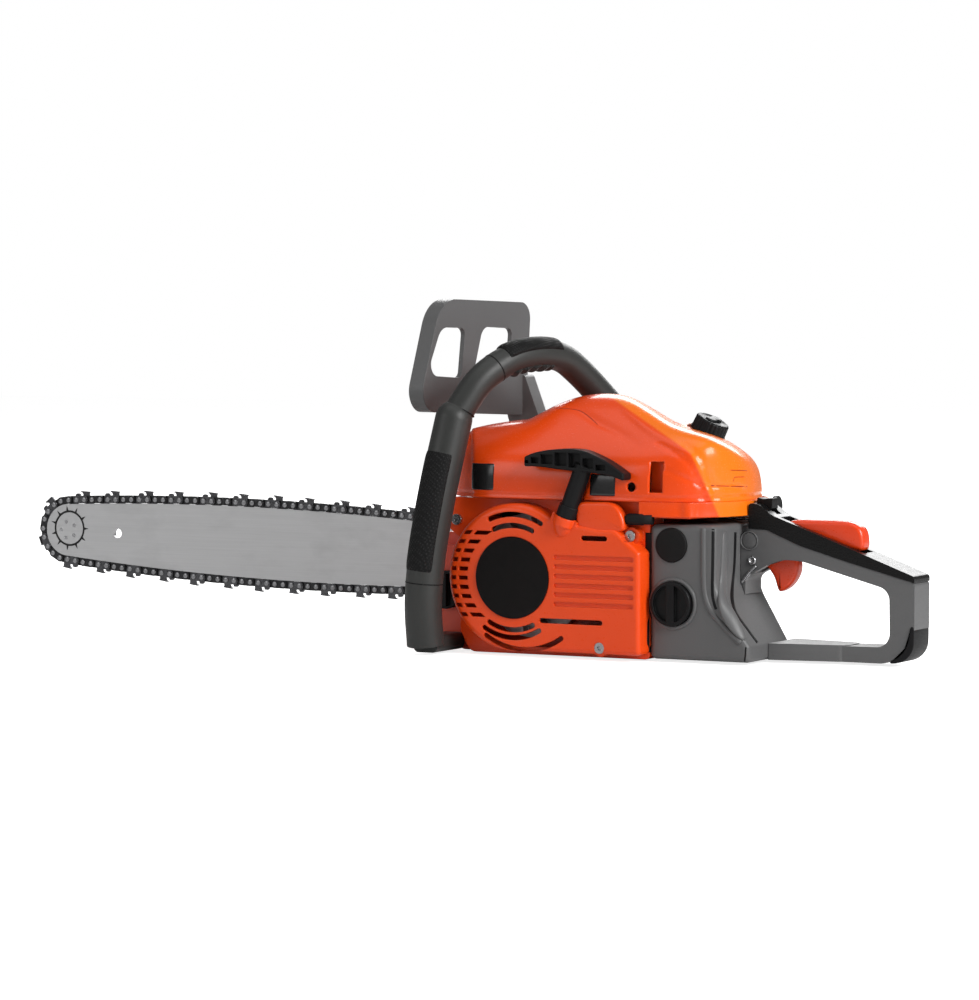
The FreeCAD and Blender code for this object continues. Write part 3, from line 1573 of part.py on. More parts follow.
def make_starter_cover():
    body = prism(cover_points(), "xz", starter_inner, starter_flange)
    dome = bar_y(0, crank_height, dome_radius, starter_flange - overrun, starter_face)
    dome = round_edges(dome, dome_round, lies_at_y(starter_face))
    panel = prism(panel_points(), "xz", starter_flange - overrun, starter_face)
    panel = round_edges(panel, panel_round, lies_at_y(starter_face))
    saddle = round_bar(guide_place() - rope_direction() * guide_length * 2, rope_direction(),
                       guide_radius + starter_wall, guide_length * 2)
    saddle = saddle.common(block(starter_rear, starter_front, starter_inner, starter_face, starter_low,
                                 starter_high))
    shell = join([body, dome, panel, saddle])
    frame = prism(cover_points(), "xz", starter_inner - overrun, starter_flange - starter_wall,
                  starter_wall)
    dome_room = bar_y(0, crank_height, dome_radius - starter_wall, starter_inner - overrun,
                      starter_face - starter_wall)
    dome_room = round_edges(dome_room, dome_round - starter_wall, lies_at_y(starter_face - starter_wall))
    panel_room = prism(panel_points(), "xz", starter_inner - overrun, starter_face - starter_wall,
                       starter_wall)
    shell = cut_all(shell, [frame, dome_room, panel_room])
    disc_seat = bar_y(0, crank_height, disc_radius + bolt_gap, starter_face - disc_dish,
                      starter_face + overrun)
    low = starter_face - starter_wall * 3
    high = starter_face + overrun
    cuts = [disc_seat, vent_rows()]
    upper = vent_outer_radius * 0.9
    cuts.append(arc_slot(0, crank_height, upper, 66, 120, arc_slot_width, low, high))
    cuts.append(arc_slot(0, crank_height, vent_inner_radius + arc_slot_width / 4, 66, 115, arc_slot_width,
                         low, high))
    cuts.append(arc_slot(0, crank_height, vent_inner_radius + arc_slot_width / 4, -116, -60,
                         arc_slot_width, low, high))
    cuts.append(arc_slot(0, crank_height, vent_rib_inner_radius - arc_slot_width / 4, -120, -58,
                         arc_slot_width, low, high))
    cuts.append(arc_slot(long_arc_shift_x, crank_height + long_arc_shift_z, long_arc_radius, -124, -56,
                         arc_slot_width, low - dome_round, high))
    for index in range(groove_count):
        cuts.append(level_slot(groove_front, groove_rear, groove_low + groove_pitch * index, groove_height,
                               starter_face - groove_depth, high))
    cuts.append(level_slot(short_slot_front, short_slot_rear, short_slot_z, slot_height, low, high))
    cuts.append(level_slot(long_slot_front, long_slot_rear, long_slot_z, slot_height, low, high))
    guide_seat = guide_place() - rope_direction() * guide_length
    cuts.append(round_bar(guide_seat, rope_direction(), guide_radius + bolt_gap, guide_length * 2))
    cuts.append(round_bar(guide_seat - rope_direction() * guide_length, rope_direction(),
                          guide_bore_radius, guide_length * 2))
    shell = cut_all(shell, cuts)
    posts = []
    for x, y, z in cover_screw_places():
        post = bar_y(x, z, screw_head_radius + starter_wall, starter_inner, y)
        posts.append(post.common(prism(cover_points(), "xz", starter_inner, starter_face)))
    axle = bar_y(0, crank_height, pulley_bore_radius, pulley_low, starter_face - starter_wall)
    shell = join([shell, axle] + posts)
    for x, y, z in cover_screw_places():
        shell = shell.cut(bar_y(x, z, screw_radius + bolt_gap, starter_inner - overrun, y + overrun))
        shell = shell.cut(bar_y(x, z, screw_head_radius + bolt_gap, y, starter_face + overrun))
    return shell


def make_starter_disc():
    disc = bar_y(0, crank_height, disc_radius, starter_face - disc_dish + running_gap,
                 starter_face + disc_proud)
    return round_edges(disc, disc_proud * 0.5, lies_at_y(starter_face + disc_proud))


def make_cover_screws():
    screws = []
    for x, y, z in cover_screw_places():
        shank = bar_y(x, z, screw_radius - running_gap, cover_boss_depth + bolt_gap, y)
        head = bar_y(x, z, screw_head_radius, y, y + screw_head_height * 0.8)
        socket = hexagon(vector(x, y + screw_head_height * 0.3, z), True, screw_socket_radius, overrun)
        screws.append(join([shank, head]).cut(socket))
    return Part.makeCompound(screws)


def make_rope_guide():
    """The eyelet that the rope comes out of, under the starter grip."""
    start = guide_place() - rope_direction() * guide_length
    body = round_bar(start, rope_direction(), guide_radius, guide_length)
    return body.cut(round_bar(start - rope_direction() * overrun, rope_direction(), guide_bore_radius,
                              guide_length + overrun * 2))


def make_starter_grip():
    """The pull handle: a stem on the rope with an arched cross bar that has finger pockets."""
    base = guide_place() + rope_direction() * seat_gap
    stem = round_bar(base, rope_direction(), grip_stem_radius, grip_stem_length)
    collar = round_bar(base, rope_direction(), grip_collar_radius, grip_collar_length)
    upper = []
    lower = []
    for a, b, thick in grip_arch_shares:
        top = span(grip_low, grip_high, b)
        upper.append(vector(span(grip_rear, grip_front, a), 0, top))
        lower.append(vector(span(grip_rear, grip_front, a), 0, top - (grip_high - grip_low) * thick))
    top_curve = Part.BSplineCurve()
    top_curve.interpolate(upper)
    low_curve = Part.BSplineCurve()
    low_curve.interpolate(lower)
    edges = [top_curve.toShape(), low_curve.toShape(), Part.LineSegment(upper[0], lower[0]).toShape(),
             Part.LineSegment(upper[-1], lower[-1]).toShape()]
    face = Part.Face(Part.Wire(Part.__sortEdges__(edges)))
    cross = moved(face.extrude(Y * grip_bar_width), 0, guide_y - grip_bar_width / 2, 0)
    cross = cross.makeFillet(grip_bar_round, cross.Edges)
    pockets = []
    for index in range(len(grip_arch_shares) - 1):
        first, second = upper[index], upper[index + 1]
        low = max(lower[index].z, lower[index + 1].z) + grip_pocket_wall
        high = min(first.z, second.z) - grip_pocket_wall
        if high - low > grip_pocket_wall:
            pockets.append(block(first.x + grip_rib, second.x - grip_rib,
                                 guide_y + grip_bar_width / 2 - grip_pocket_depth,
                                 guide_y + grip_bar_width, low, high))
    cross = cross.cut(Part.makeCompound(pockets))
    bore = round_bar(base - rope_direction() * overrun, rope_direction(), grip_rope_radius,
                     grip_stem_length / 2 + overrun)
    return join([stem, collar, cross]).cut(bore)


# Top cover

cover_side_shares = [
    (1.000, 0.000, 0.030), (1.000, 0.634, 0.080), (0.777, 0.735, 0.300), (0.600, 0.990, 0.400),
    (0.425, 0.990, 0.300), (0.285, 0.735, 0.400), (0.090, 0.560, 0.350), (0.000, 0.300, 0.300),
    (0.000, 0.000, 0.030),
]
cover_end_shares = [
    (0.000, 0.000, 0.020), (0.010, 0.480, 0.200), (0.110, 0.820, 0.250), (0.340, 1.010, 0.600),
    (0.640, 1.010, 0.400), (0.890, 0.830, 0.200), (0.985, 0.440, 0.200), (1.000, 0.000, 0.020),
]
cover_plan_shares = [
    (1.000, 0.100, 0.080), (1.000, 0.740, 0.150), (0.850, 0.985, 0.150), (0.180, 1.000, 0.300),
    (0.047, 0.880, 0.150), (0.000, 0.650, 0.150), (0.000, 0.420, 0.150), (0.070, 0.120, 0.200),
    (0.200, 0.000, 0.200), (0.820, 0.000, 0.200),
]


def cover_form(inset, drop):
    """The top cover's form, from its side, end and plan outlines, drawn in by inset."""
    low = cover_low - drop
    shapes = []
    for shares, a0, a1 in ((cover_side_shares, cover_rear, cover_front), (cover_end_shares, cover_right,
        cover_left)):
        points = outline(shares, a0, a1, cover_low, cover_high)
        shapes.append([(a, low if b == cover_low else b, radius) for a, b, radius in points])
    side, end = shapes
    plan = outline(cover_plan_shares, cover_rear, cover_front, cover_right, cover_left)
    wire = rounded_wire(side, "xz", 0)
    if inset:
        wire = wire.makeOffset2D(-inset)
    face = Part.Face(wire)
    near = face.extrude(vector(cover_near_shift, cover_left + overrun, 0))
    far = face.extrude(vector(cover_far_shift, cover_right - overrun, -cover_far_drop))
    form = near.fuse(far).common(prism(end, "yz", cover_rear - overrun, cover_front + overrun, inset))
    return form.common(prism(plan, "xy", low - overrun if drop else low, cover_high + overrun, inset))


def knob_direction():
    tilt = math.radians(knob_tilt_deg)
    return vector(-math.sin(tilt), 0, math.cos(tilt))


def make_top_cover():
    outer = cover_form(0, 0)
    seat = vector(knob_x, 0, knob_z)
    boss = round_bar(seat - knob_direction() * knob_boss_height, knob_direction(), knob_boss_radius,
                     knob_boss_height)
    shell = outer.fuse(boss.common(block(cover_rear, cover_front, cover_right, cover_left, cover_low,
                                         cover_high))).cut(cover_form(cover_wall, cover_wall * 4))
    window = block(muffler_front + muffler_rib_height, cover_front + overrun, -cover_window_half_width,
                   cover_window_half_width, cover_window_low, cover_window_high)
    slot = block(cover_slot_rear, cover_slot_front, cover_left * 0.6, cover_left + overrun, cover_slot_low,
                 cover_slot_high)
    hole = bar_y(cover_hole_x, cover_hole_z, cover_hole_radius, cover_left * 0.6, cover_left + overrun)
    stem = round_bar(seat - knob_direction() * knob_boss_height * 4, knob_direction(),
                     knob_stem_radius + bolt_gap,
                     knob_boss_height * 6)
    grip_room = round_bar(guide_place(), rope_direction(), grip_collar_radius + running_gap * 10,
                          grip_stem_length * 2)
    knob_room = round_bar(seat, knob_direction(), knob_boss_radius, knob_height * 2)
    return cut_all(shell, [window, slot, hole, stem, grip_room, knob_room])


def make_cover_knob():
    """The knob that holds the top cover down, with its flutes and its threaded stem."""
    seat = vector(knob_x, 0, knob_z) + knob_direction() * seat_gap
    body = round_bar(seat, knob_direction(), knob_radius, knob_height)
    near_top = knob_height * 0.9
    top_edge = [edge for edge in body.Edges if (edge.CenterOfMass - seat).dot(knob_direction()) > near_top]
    body = body.makeFillet(knob_round, top_edge)
    across = vector(knob_direction().z, 0, -knob_direction().x)
    flutes = []
    for step in range(knob_flute_count):
        angle = 2 * math.pi * step / knob_flute_count
        spoke = across * math.cos(angle) + Y * math.sin(angle)
        foot = seat + spoke * (knob_radius + knob_flute_radius * 0.3) - knob_direction() * overrun
        flutes.append(round_bar(foot,
                                knob_direction(), knob_flute_radius, knob_height + overrun * 2))
    body = body.cut(Part.makeCompound(flutes))
    stem = round_bar(seat - knob_direction() * knob_stem_length, knob_direction(), knob_stem_radius,
                     knob_stem_length + overrun)
    return join([body, stem])


def make_carburettor_box():
    """The tray under the rear of the top cover, which carries the carburettor and the air filter."""
    points = [
        (rim_front, rim_right, 0),
        (rim_front, rim_left, 0),
        (span(rim_front, rim_rear, 0.6), rim_left, 0),
        (rim_rear, span(rim_right, rim_left, 0.62), (rim_high - rim_low) * 2),
        (rim_rear, span(rim_right, rim_left, 0.2), (rim_high - rim_low) * 2),
        (span(rim_front, rim_rear, 0.7), rim_right, rim_high - rim_low),
    ]
    tray = prism(points, "xy", rim_low, rim_high)
    room = prism(points, "xy", rim_low + rim_floor, rim_high + overrun, rim_floor)
    floor_front = block(carburettor_front, rim_front, -carburettor_half_width * 1.6,
                        carburettor_half_width * 1.6,
                        carburettor_low - rim_floor - running_gap, carburettor_low - running_gap)
    bridge = block(rim_front - overrun, rim_front + rim_floor, -carburettor_half_width * 1.6,
                   carburettor_half_width * 1.6, rim_low, carburettor_low - running_gap)
    shaft_hole = bar_z(span(carburettor_front, carburettor_rear, 0.8), carburettor_half_width * 0.5,
                       throttle_shaft_radius + seat_gap, rim_low - overrun, rim_high)
    post = bar_z(knob_x, 0, stud_post_radius - running_gap, rim_low, air_filter_high - overrun)
    ledge = block(air_filter_rear * 0.9, rim_front - rim_floor, -air_filter_half_width * 0.8,
                  air_filter_half_width * 0.8, rim_low, air_filter_low - running_gap)
    choke_hole = bar_x(choke_y, choke_z, choke_rod_radius + seat_gap, rim_rear - overrun, rim_front)
    gate = air_filter_half_width + seat_gap
    filter_way = block(rim_front - rim_floor * 2, rim_front + overrun, -gate, gate,
                       air_filter_low - running_gap, rim_high + overrun)
    body = join([tray.cut(room), floor_front, bridge, ledge, post])
    return cut_all(body, [shaft_hole, choke_hole, filter_way])


# Clutch side

def make_clutch_drum():
    """The drum and its chain sprocket, one piece, open on its right side."""
    drum = bar_y(0, crank_height, drum_radius, drum_low, drum_high)
    drum = drum.cut(bar_y(0, crank_height, drum_radius - drum_wall, drum_low - overrun,
                          drum_high - drum_wall))
    middle = bar_plane
    flange_left = bar_y(0, crank_height, sprocket_flange_radius, middle + sprocket_channel / 2,
                        sprocket_high)
    flange_right = bar_y(0, crank_height, sprocket_flange_radius, sprocket_low,
                         middle - sprocket_channel / 2)
    core = bar_y(0, crank_height, sprocket_web_radius - link_thickness * 0.5, drum_high - drum_wall,
                 sprocket_high)
    parts = [drum, flange_left, flange_right, core]
    tooth = block(0, sprocket_web_radius, middle - sprocket_channel, middle + sprocket_channel,
                  -link_thickness / 2, link_thickness / 2)
    for step in range(drive_sprocket_teeth):
        one = turned(tooth, vector(0, 0, 0), Y, 360 / drive_sprocket_teeth * step)
        parts.append(moved(one, 0, 0, crank_height))
    whole = join(parts)
    return whole.cut(bar_y(0, crank_height, drum_bore_radius, drum_low - overrun, sprocket_high + overrun))


def make_clutch_hub():
    """The three-armed hub that is screwed on the crankshaft and carries the shoes."""
    body = bar_y(0, crank_height, clutch_hub_radius, clutch_low, clutch_high)
    arm = block(0, clutch_shoe_outer_radius * 0.8, clutch_low, clutch_high, -clutch_arm_width / 2,
                clutch_arm_width / 2)
    parts = [body]
    for step in range(clutch_shoe_count):
        one = turned(arm, vector(0, 0, 0), Y, 360 / clutch_shoe_count * step)
        parts.append(moved(one, 0, 0, crank_height))
    return join(parts).cut(bar_y(0, crank_height, crank_shaft_radius + running_gap, clutch_low * 2, 0))


def make_clutch_shoes():
    ring = bar_y(0, crank_height, clutch_shoe_outer_radius, clutch_low, clutch_high)
    ring = ring.cut(bar_y(0, crank_height, clutch_shoe_inner_radius, clutch_low - overrun,
                          clutch_high + overrun))
    arm_room = clutch_arm_width / 2 + clutch_arm_gap
    slots = []
    for step in range(clutch_shoe_count):
        angle = 360 / clutch_shoe_count * step
        arm = block(0, clutch_shoe_outer_radius * 0.8 + clutch_arm_gap, clutch_low - overrun,
                    clutch_high + overrun,
                    -arm_room, arm_room)
        gap = block(0, clutch_shoe_outer_radius * 2, clutch_low - overrun, clutch_high + overrun,
                    -clutch_arm_gap, clutch_arm_gap)
        slots.append(moved(turned(arm, vector(0, 0, 0), Y, angle), 0, 0, crank_height))
        slots.append(moved(turned(gap, vector(0, 0, 0), Y, angle + 180 / clutch_shoe_count), 0, 0,
                           crank_height))
    return cut_all(ring, slots)


def make_brake_band():
    """The steel band round the drum, open at the top, with the two ends that the brake pulls on."""
    inner = drum_radius + band_gap
    outer = inner + band_thickness
    ring = bar_y(0, crank_height, outer, band_low, band_high)
    ring = ring.cut(bar_y(0, crank_height, inner, band_low - overrun, band_high + overrun))
    gap = block(-band_end_length, 0, band_low - overrun, band_high + overrun, crank_height,
                crank_height + outer * 2)
    ends = [
        block(-overrun / 4, band_end_length * 0.5, band_low, band_high, crank_height + inner,
              crank_height + outer),
        block(-outer, -inner, band_low, band_high, crank_height - overrun, crank_height + band_end_length),
    ]
    return join([ring.cut(gap)] + ends[1:])


clutch_cover_shares = [
    (0.000, 0.120, 0.200), (0.120, 0.000, 0.250), (0.860, 0.060, 0.200), (1.000, 0.300, 0.150),
    (1.000, 0.720, 0.150), (0.880, 0.860, 0.120), (0.620, 0.940, 0.300), (0.240, 1.000, 0.300),
    (0.020, 0.860, 0.250),
]


def clutch_cover_points():
    return outline(clutch_cover_shares, clutch_cover_rear, clutch_cover_front, clutch_cover_low,
                   clutch_cover_high)


def nut_seat():
    """The level at the bottom of the clutch cover's recess, on which the bar nuts press."""
    return clutch_cover_low_y + nut_recess


def nut_pad_points():
    """The long round outline of the clutch cover's seat for both bar nuts."""
    first, second = stud_places()
    half = nut_flange_radius + nut_pad_margin
    return [
        (first[0] - half, first[1] - half, half),
        (second[0] + half, second[1] - half, half),
        (second[0] + half, second[1] + half, half),
        (first[0] - half, first[1] + half, half),
    ]


def make_clutch_cover():
    body = prism(clutch_cover_points(), "xz", clutch_cover_low_y, clutch_cover_high_y)
    body = round_edges(body, clutch_cover_round, lies_at_y(clutch_cover_low_y))
    room = prism(clutch_cover_points(), "xz", clutch_cover_low_y + clutch_cover_wall,
                 clutch_cover_high_y + overrun,
                 clutch_cover_wall)
    room = round_edges(room, clutch_cover_round - clutch_cover_wall,
                       lies_at_y(clutch_cover_low_y + clutch_cover_wall))
    pad = prism(nut_pad_points(), "xz", clutch_cover_low_y + clutch_cover_wall,
                bar_plane - bar_thickness / 2 - bolt_gap)
    recess = prism(nut_pad_points(), "xz", clutch_cover_low_y - overrun, nut_seat(), clutch_cover_wall)
    shell = join([body.cut(room), pad])
    cuts = [recess]
    for x, z in stud_places():
        cuts.append(bar_y(x, z, stud_radius + seat_gap, clutch_cover_low_y - overrun, bar_plane))
    exit_half = pitch_half_height + cutter_height
    exit_middle = stud_places()[1][1]
    cuts.append(block(bar_pad_front, clutch_cover_front + overrun, bar_plane - chain_gate,
                      clutch_cover_high_y + overrun,
                      exit_middle - exit_half, exit_middle + exit_half))
    for index in range(clutch_cover_vents):
        z = crank_height + clutch_vent_pitch * (index - (clutch_cover_vents - 1) / 2)
        cuts.append(level_slot(clutch_vent_front, clutch_vent_front - clutch_vent_length, z,
                               clutch_vent_height,
                               clutch_cover_low_y - overrun, clutch_cover_low_y + overrun))
    shell = cut_all(shell, cuts)
    ear_y = guard_arm_inner + seat_gap
    ear = prism([
        (guard_pivot_x - guard_ear_foot, clutch_cover_high - guard_boss_radius, 0),
        (guard_pivot_x + guard_ear_foot, clutch_cover_high - guard_ear_foot, 0),
        (guard_pivot_x + guard_boss_radius, guard_pivot_z + guard_boss_radius, guard_boss_radius),
        (guard_pivot_x - guard_boss_radius, guard_pivot_z + guard_boss_radius, guard_boss_radius),
    ], "xz", ear_y, ear_y + guard_ear_thickness)
    head_y = guard_arm_outer - seat_gap
    pin = bar_y(guard_pivot_x, guard_pivot_z, guard_pin_radius, head_y, ear_y + guard_ear_thickness)
    head = bar_y(guard_pivot_x, guard_pivot_z, guard_pin_head_radius, head_y - guard_pin_head, head_y)
    return join([shell, ear, pin, head])


def make_bar_studs():
    studs = []
    for x, z in stud_places():
        studs.append(bar_y(x, z, stud_radius - running_gap, nut_seat() - nut_height + seat_gap, stud_root))
    return Part.makeCompound(studs)


def make_bar_nuts():
    nuts = []
    seat = nut_seat() - bolt_gap
    for x, z in stud_places():
        flange = bar_y(x, z, nut_flange_radius, seat - nut_flange_height, seat)
        nut = hexagon(vector(x, seat - nut_height, z), True, nut_radius, nut_height)
        nuts.append(join([flange, nut]).cut(bar_y(x, z, stud_radius, seat - nut_height - overrun,
                                                  seat + overrun)))
    return Part.makeCompound(nuts)


def make_bumper_spikes():
    """The toothed steel plate beside the bar's root, against which the saw is pivoted in the wood."""
    points = [(bumper_rear, bumper_low, bumper_plate), (bumper_front, bumper_low, 0)]
    pitch = (bumper_high - bumper_low) / bumper_tooth_count
    for index in range(bumper_tooth_count):
        low = bumper_low + pitch * index
        points.append((bumper_front, low + pitch * 0.12, bumper_plate / 2))
        points.append((bumper_front + bumper_tooth_length, low + pitch * 0.5, bumper_plate / 4))
        points.append((bumper_front, low + pitch * 0.88, bumper_plate / 2))
    points += [(bumper_front, bumper_high, 0), (bumper_rear, bumper_high, bumper_plate)]
    plate = prism(points, "xz", case_right - bumper_plate - bolt_gap, case_right - bolt_gap)
    screw_clear = bar_x(tension_y, tension_z, tension_screw_head_radius + seat_gap, bumper_rear - overrun,
                        bumper_front + bumper_tooth_length + overrun)
    return plate.cut(screw_clear)


def make_chain_catcher():
    """The small alloy hook under the bar's root that stops a broken chain."""
    pad_y = bar_plane + bar_thickness / 2
    body = prism(rectangle(catcher_x, catcher_x + catcher_length, catcher_low, catcher_low + catcher_height,
                           catcher_height / 3), "xz", case_right - catcher_reach, case_right - running_gap)
    waist = block(catcher_x + catcher_length * 0.3, catcher_x + catcher_length * 0.7,
                  case_right - catcher_reach - overrun,
                  case_right - catcher_reach * 0.4,
                   catcher_low + catcher_height * 0.5, catcher_low + catcher_height * 2)
    return body.cut(waist)


def make_tension_screw():
    shank = bar_x(tension_y, tension_z, tension_screw_radius, tension_rear, tension_front)
    head = bar_x(tension_y, tension_z, tension_screw_head_radius, tension_front - tension_screw_head,
                 tension_front)
    slot = block(tension_front - tension_screw_head * 0.5, tension_front + overrun, tension_y - overrun,
                 tension_y + overrun, tension_z - running_gap * 10, tension_z + running_gap * 10)
    return join([shank, head]).cut(slot)


def make_tension_pin():
    """The nut that rides on the tension screw, with the pin that pushes the bar."""
    half = tension_block / 2
    body = block(tension_block_x - half, tension_block_x + half, bar_plane + bar_thickness / 2 + bolt_gap,
                 tension_y + half, tension_z - half, tension_z + half)
    pin = bar_y(tension_block_x, tension_z, tension_pin_radius, bar_plane - bar_thickness / 2, tension_y)
    bore = bar_x(tension_y, tension_z, tension_screw_radius + running_gap, tension_rear - overrun,
                 tension_front)
    return join([body, pin]).cut(bore)


def make_oil_pump():
    """The oil pump's body beside the crankshaft, and the worm ring on the crankshaft that drives it."""
    points = rectangle(pump_rear, pump_front, pump_low, pump_high, pump_corner)
    body = prism(points, "xz", pump_right, case_right - bolt_gap)
    root = prism(rectangle(pump_rear, pump_root_front, pump_low, pump_high, pump_corner), "xz",
                 case_right - bolt_gap, case_right + duct_wall)
    body = join([body, root])
    body = body.cut(bar_y(0, crank_height, worm_radius + seat_gap, pump_right - overrun,
                          case_right + duct_wall))
    worm = bar_y(0, crank_height, worm_radius, worm_low, worm_high)
    worm = worm.cut(bar_y(0, crank_height, crank_shaft_radius + running_gap, worm_low - overrun,
                          worm_high + overrun))
    return Part.makeCompound([body, worm])


# Tank

def tank_points():
    return [
        (tank_front, tank_low, tank_round / 2),
        (tank_foot_rear, tank_low, tank_round / 3),
        (tank_foot_rear, span(tank_low, tank_high, tank_foot_share), tank_round / 3),
        (tank_rear, span(tank_low, tank_high, tank_bend_share), tank_bend_radius),
        (tank_rear, tank_high, tank_round / 2),
        (tank_front, tank_high, tank_round / 2),
    ]


def tank_plan_points():
    """The tank seen from above: its right rear corner is cut off beside the handle's root."""
    return [
        (tank_front + overrun, tank_right - overrun, 0),
        (tank_front + overrun, tank_left + overrun, 0),
        (tank_foot_rear - overrun, tank_left + overrun, 0),
        (tank_foot_rear - overrun, 0, 0),
        (tank_rear, tank_plan_y, tank_round),
        (tank_plan_x, tank_right - overrun, 0),
    ]


def make_fuel_tank():
    body = prism(tank_points(), "xz", tank_right, tank_left)
    body = round_edges(body, tank_edge_round, lies_at_y(tank_left))
    body = round_edges(body, tank_edge_round, lies_at_y(tank_right))
    body = body.common(prism(tank_plan_points(), "xy", tank_low - overrun, tank_high + overrun))
    room = prism(tank_points(), "xz", tank_right + tank_wall, tank_left - tank_wall * 5, tank_wall)
    room = room.common(prism(tank_plan_points(), "xy", tank_low - overrun, tank_high + overrun, tank_wall))
    seat = bar_y(fuel_cap_x, fuel_cap_z, fuel_cap_seat_radius, tank_left - fuel_cap_seat_depth,
                 tank_left + overrun)
    neck = bar_y(fuel_cap_x, fuel_cap_z, fuel_neck_radius + seat_gap, tank_left - tank_wall * 8,
                 tank_left + overrun)
    pocket = bar_y(damper_x, damper_z, damper_radius + running_gap, tank_left - damper_depth,
                   tank_left + overrun)
    body = cut_all(body, [room, seat, neck, pocket])
    return body


def make_fuel_cap():
    low = tank_left - fuel_cap_seat_depth + seat_gap
    disc = bar_y(fuel_cap_x, fuel_cap_z, fuel_cap_radius, low, tank_left + fuel_cap_proud)
    disc = round_edges(disc, fuel_cap_proud * 0.3, lies_at_y(tank_left + fuel_cap_proud))
    plug = bar_y(fuel_cap_x, fuel_cap_z, fuel_neck_radius, tank_left - fuel_neck_length, low + overrun / 5)
    dish = bar_y(fuel_cap_x, fuel_cap_z, fuel_cap_radius * 0.84,
                 tank_left + fuel_cap_proud - fuel_cap_bar_height * 0.7,
                 tank_left + fuel_cap_proud + overrun)
    grip = block(fuel_cap_x - fuel_cap_bar_width / 2, fuel_cap_x + fuel_cap_bar_width / 2, tank_left,
                 tank_left + fuel_cap_proud, fuel_cap_z - fuel_cap_radius * 0.88,
                  fuel_cap_z + fuel_cap_radius * 0.88)
    return join([disc.cut(dish), plug, grip])


def make_oil_cap():
    low = oil_tank_left + bolt_gap
    disc = bar_y(oil_cap_x, oil_cap_z, oil_cap_radius, low, low + oil_cap_thickness)
    disc = round_edges(disc, oil_cap_thickness * 0.2, lies_at_y(low + oil_cap_thickness))
    plug = bar_y(oil_cap_x, oil_cap_z, oil_neck_radius - seat_gap, low - oil_tank_wall, low + overrun / 5)
    grip = block(oil_cap_x - fuel_cap_bar_width / 2, oil_cap_x + fuel_cap_bar_width / 2,
                 low + oil_cap_thickness / 2, low + oil_cap_thickness + oil_cap_bar_height,
                 oil_cap_z - oil_cap_radius * 0.85, oil_cap_z + oil_cap_radius * 0.85)
    return join([disc, plug, grip])


def make_av_dampers():
    """The rubber plug in the tank's side, and the four rubber mounts between crankcase and tank."""
    plug = bar_y(damper_x, damper_z, damper_radius, tank_left - damper_depth, tank_left + damper_proud)
    plug = round_edges(plug, damper_proud * 0.8, lies_at_y(tank_left + damper_proud))
    mounts = [plug]
    for side in (-1, 1):
        for z in (damper_mount_low_z, damper_mount_high_z):
            mounts.append(bar_x(side * damper_mount_y, z, damper_mount_radius, tank_front + running_gap,
                                case_rear - running_gap))
    return Part.makeCompound(mounts)


# Rear handle

handle_shares = [
    (1.000, 0.835, 0.000), (0.890, 0.830, 0.100), (0.690, 0.735, 0.600), (0.400, 0.640, 0.600),
    (0.000, 0.520, 0.030), (0.000, 0.210, 0.120), (0.110, 0.000, 0.200),
]
window_shares = [
    (0.150, 0.470, 0.090), (0.145, 0.105, 0.090), (0.915, 0.095, 0.030), (1.020, 0.280, 0.250),
    (1.020, 0.520, 0.060), (0.890, 0.600, 0.100), (0.790, 0.640, 0.250), (0.680, 0.635, 0.300),
]
grip_cover_shares = [
    (1.000, 0.835, 0.000), (1.000, 1.000, 0.020), (0.940, 0.992, 0.060), (0.860, 0.925, 0.200),
    (0.500, 0.775, 0.600), (0.000, 0.560, 0.035), (0.000, 0.520, 0.000), (0.400, 0.640, 0.600),
    (0.690, 0.735, 0.600), (0.890, 0.830, 0.100),
]
handle_shoulder_share = 0.79
tank_foot_share = 0.12
tank_bend_share = 0.52


def handle_outline(shares):
    return outline(shares, handle_rear, handle_front, handle_low, handle_high)


def handle_points():
    """The rear handle's outer outline: its grip side, then its root along the tank's rear wall."""
    rear = tank_rear - seat_gap
    foot = tank_foot_rear - seat_gap
    return handle_outline(handle_shares) + [
        (foot, handle_low, 0),
        (foot, span(tank_low, tank_high, tank_foot_share), 0),
        (rear, span(tank_low, tank_high, tank_bend_share), tank_bend_radius),
        (rear, span(handle_low, handle_high, handle_shoulder_share), 0),
        (handle_front, span(handle_low, handle_high, handle_shoulder_share), 0),
    ]


def window_points():
    return handle_outline(window_shares)


def grip_cover_points():
    return handle_outline(grip_cover_shares)


trigger_shares = [
    (1.00, 0.94, 0.10), (1.00, 0.62, 0.10), (0.52, 0.02, 0.03), (0.40, 0.02, 0.03), (0.02, 0.56, 0.14),
    (0.02, 0.78, 0.06), (0.60, 0.94, 0.20),
]
lockout_shares = [
    (1.00, 0.30, 0.10), (1.00, 0.80, 0.10), (0.90, 0.98, 0.10), (0.20, 0.96, 0.40), (0.00, 0.62, 0.25),
    (0.00, 0.00, 0.08), (0.50, 0.00, 0.10), (0.62, 0.38, 0.10), (0.90, 0.36, 0.10),
]


def trigger_points():
    return outline(trigger_shares, trigger_pivot_x - trigger_reach, trigger_pivot_x + trigger_front,
                   trigger_pivot_z - trigger_drop, trigger_pivot_z + trigger_rise)


def make_throttle_trigger():
    low = handle_centre_y - trigger_half_width
    high = handle_centre_y + trigger_half_width
    body = prism(trigger_points(), "xz", low, high)
    arm = block(trigger_pivot_x - trigger_arm_half_width, trigger_pivot_x + trigger_arm_half_width,
                handle_centre_y - trigger_arm_half_width, handle_centre_y + trigger_arm_half_width,
                trigger_pivot_z, trigger_pivot_z + trigger_arm_height)
    body = join([body, arm])
    return body.cut(bar_y(trigger_pivot_x, trigger_pivot_z, pivot_pin_radius + running_gap, low - overrun,
                          high + overrun))


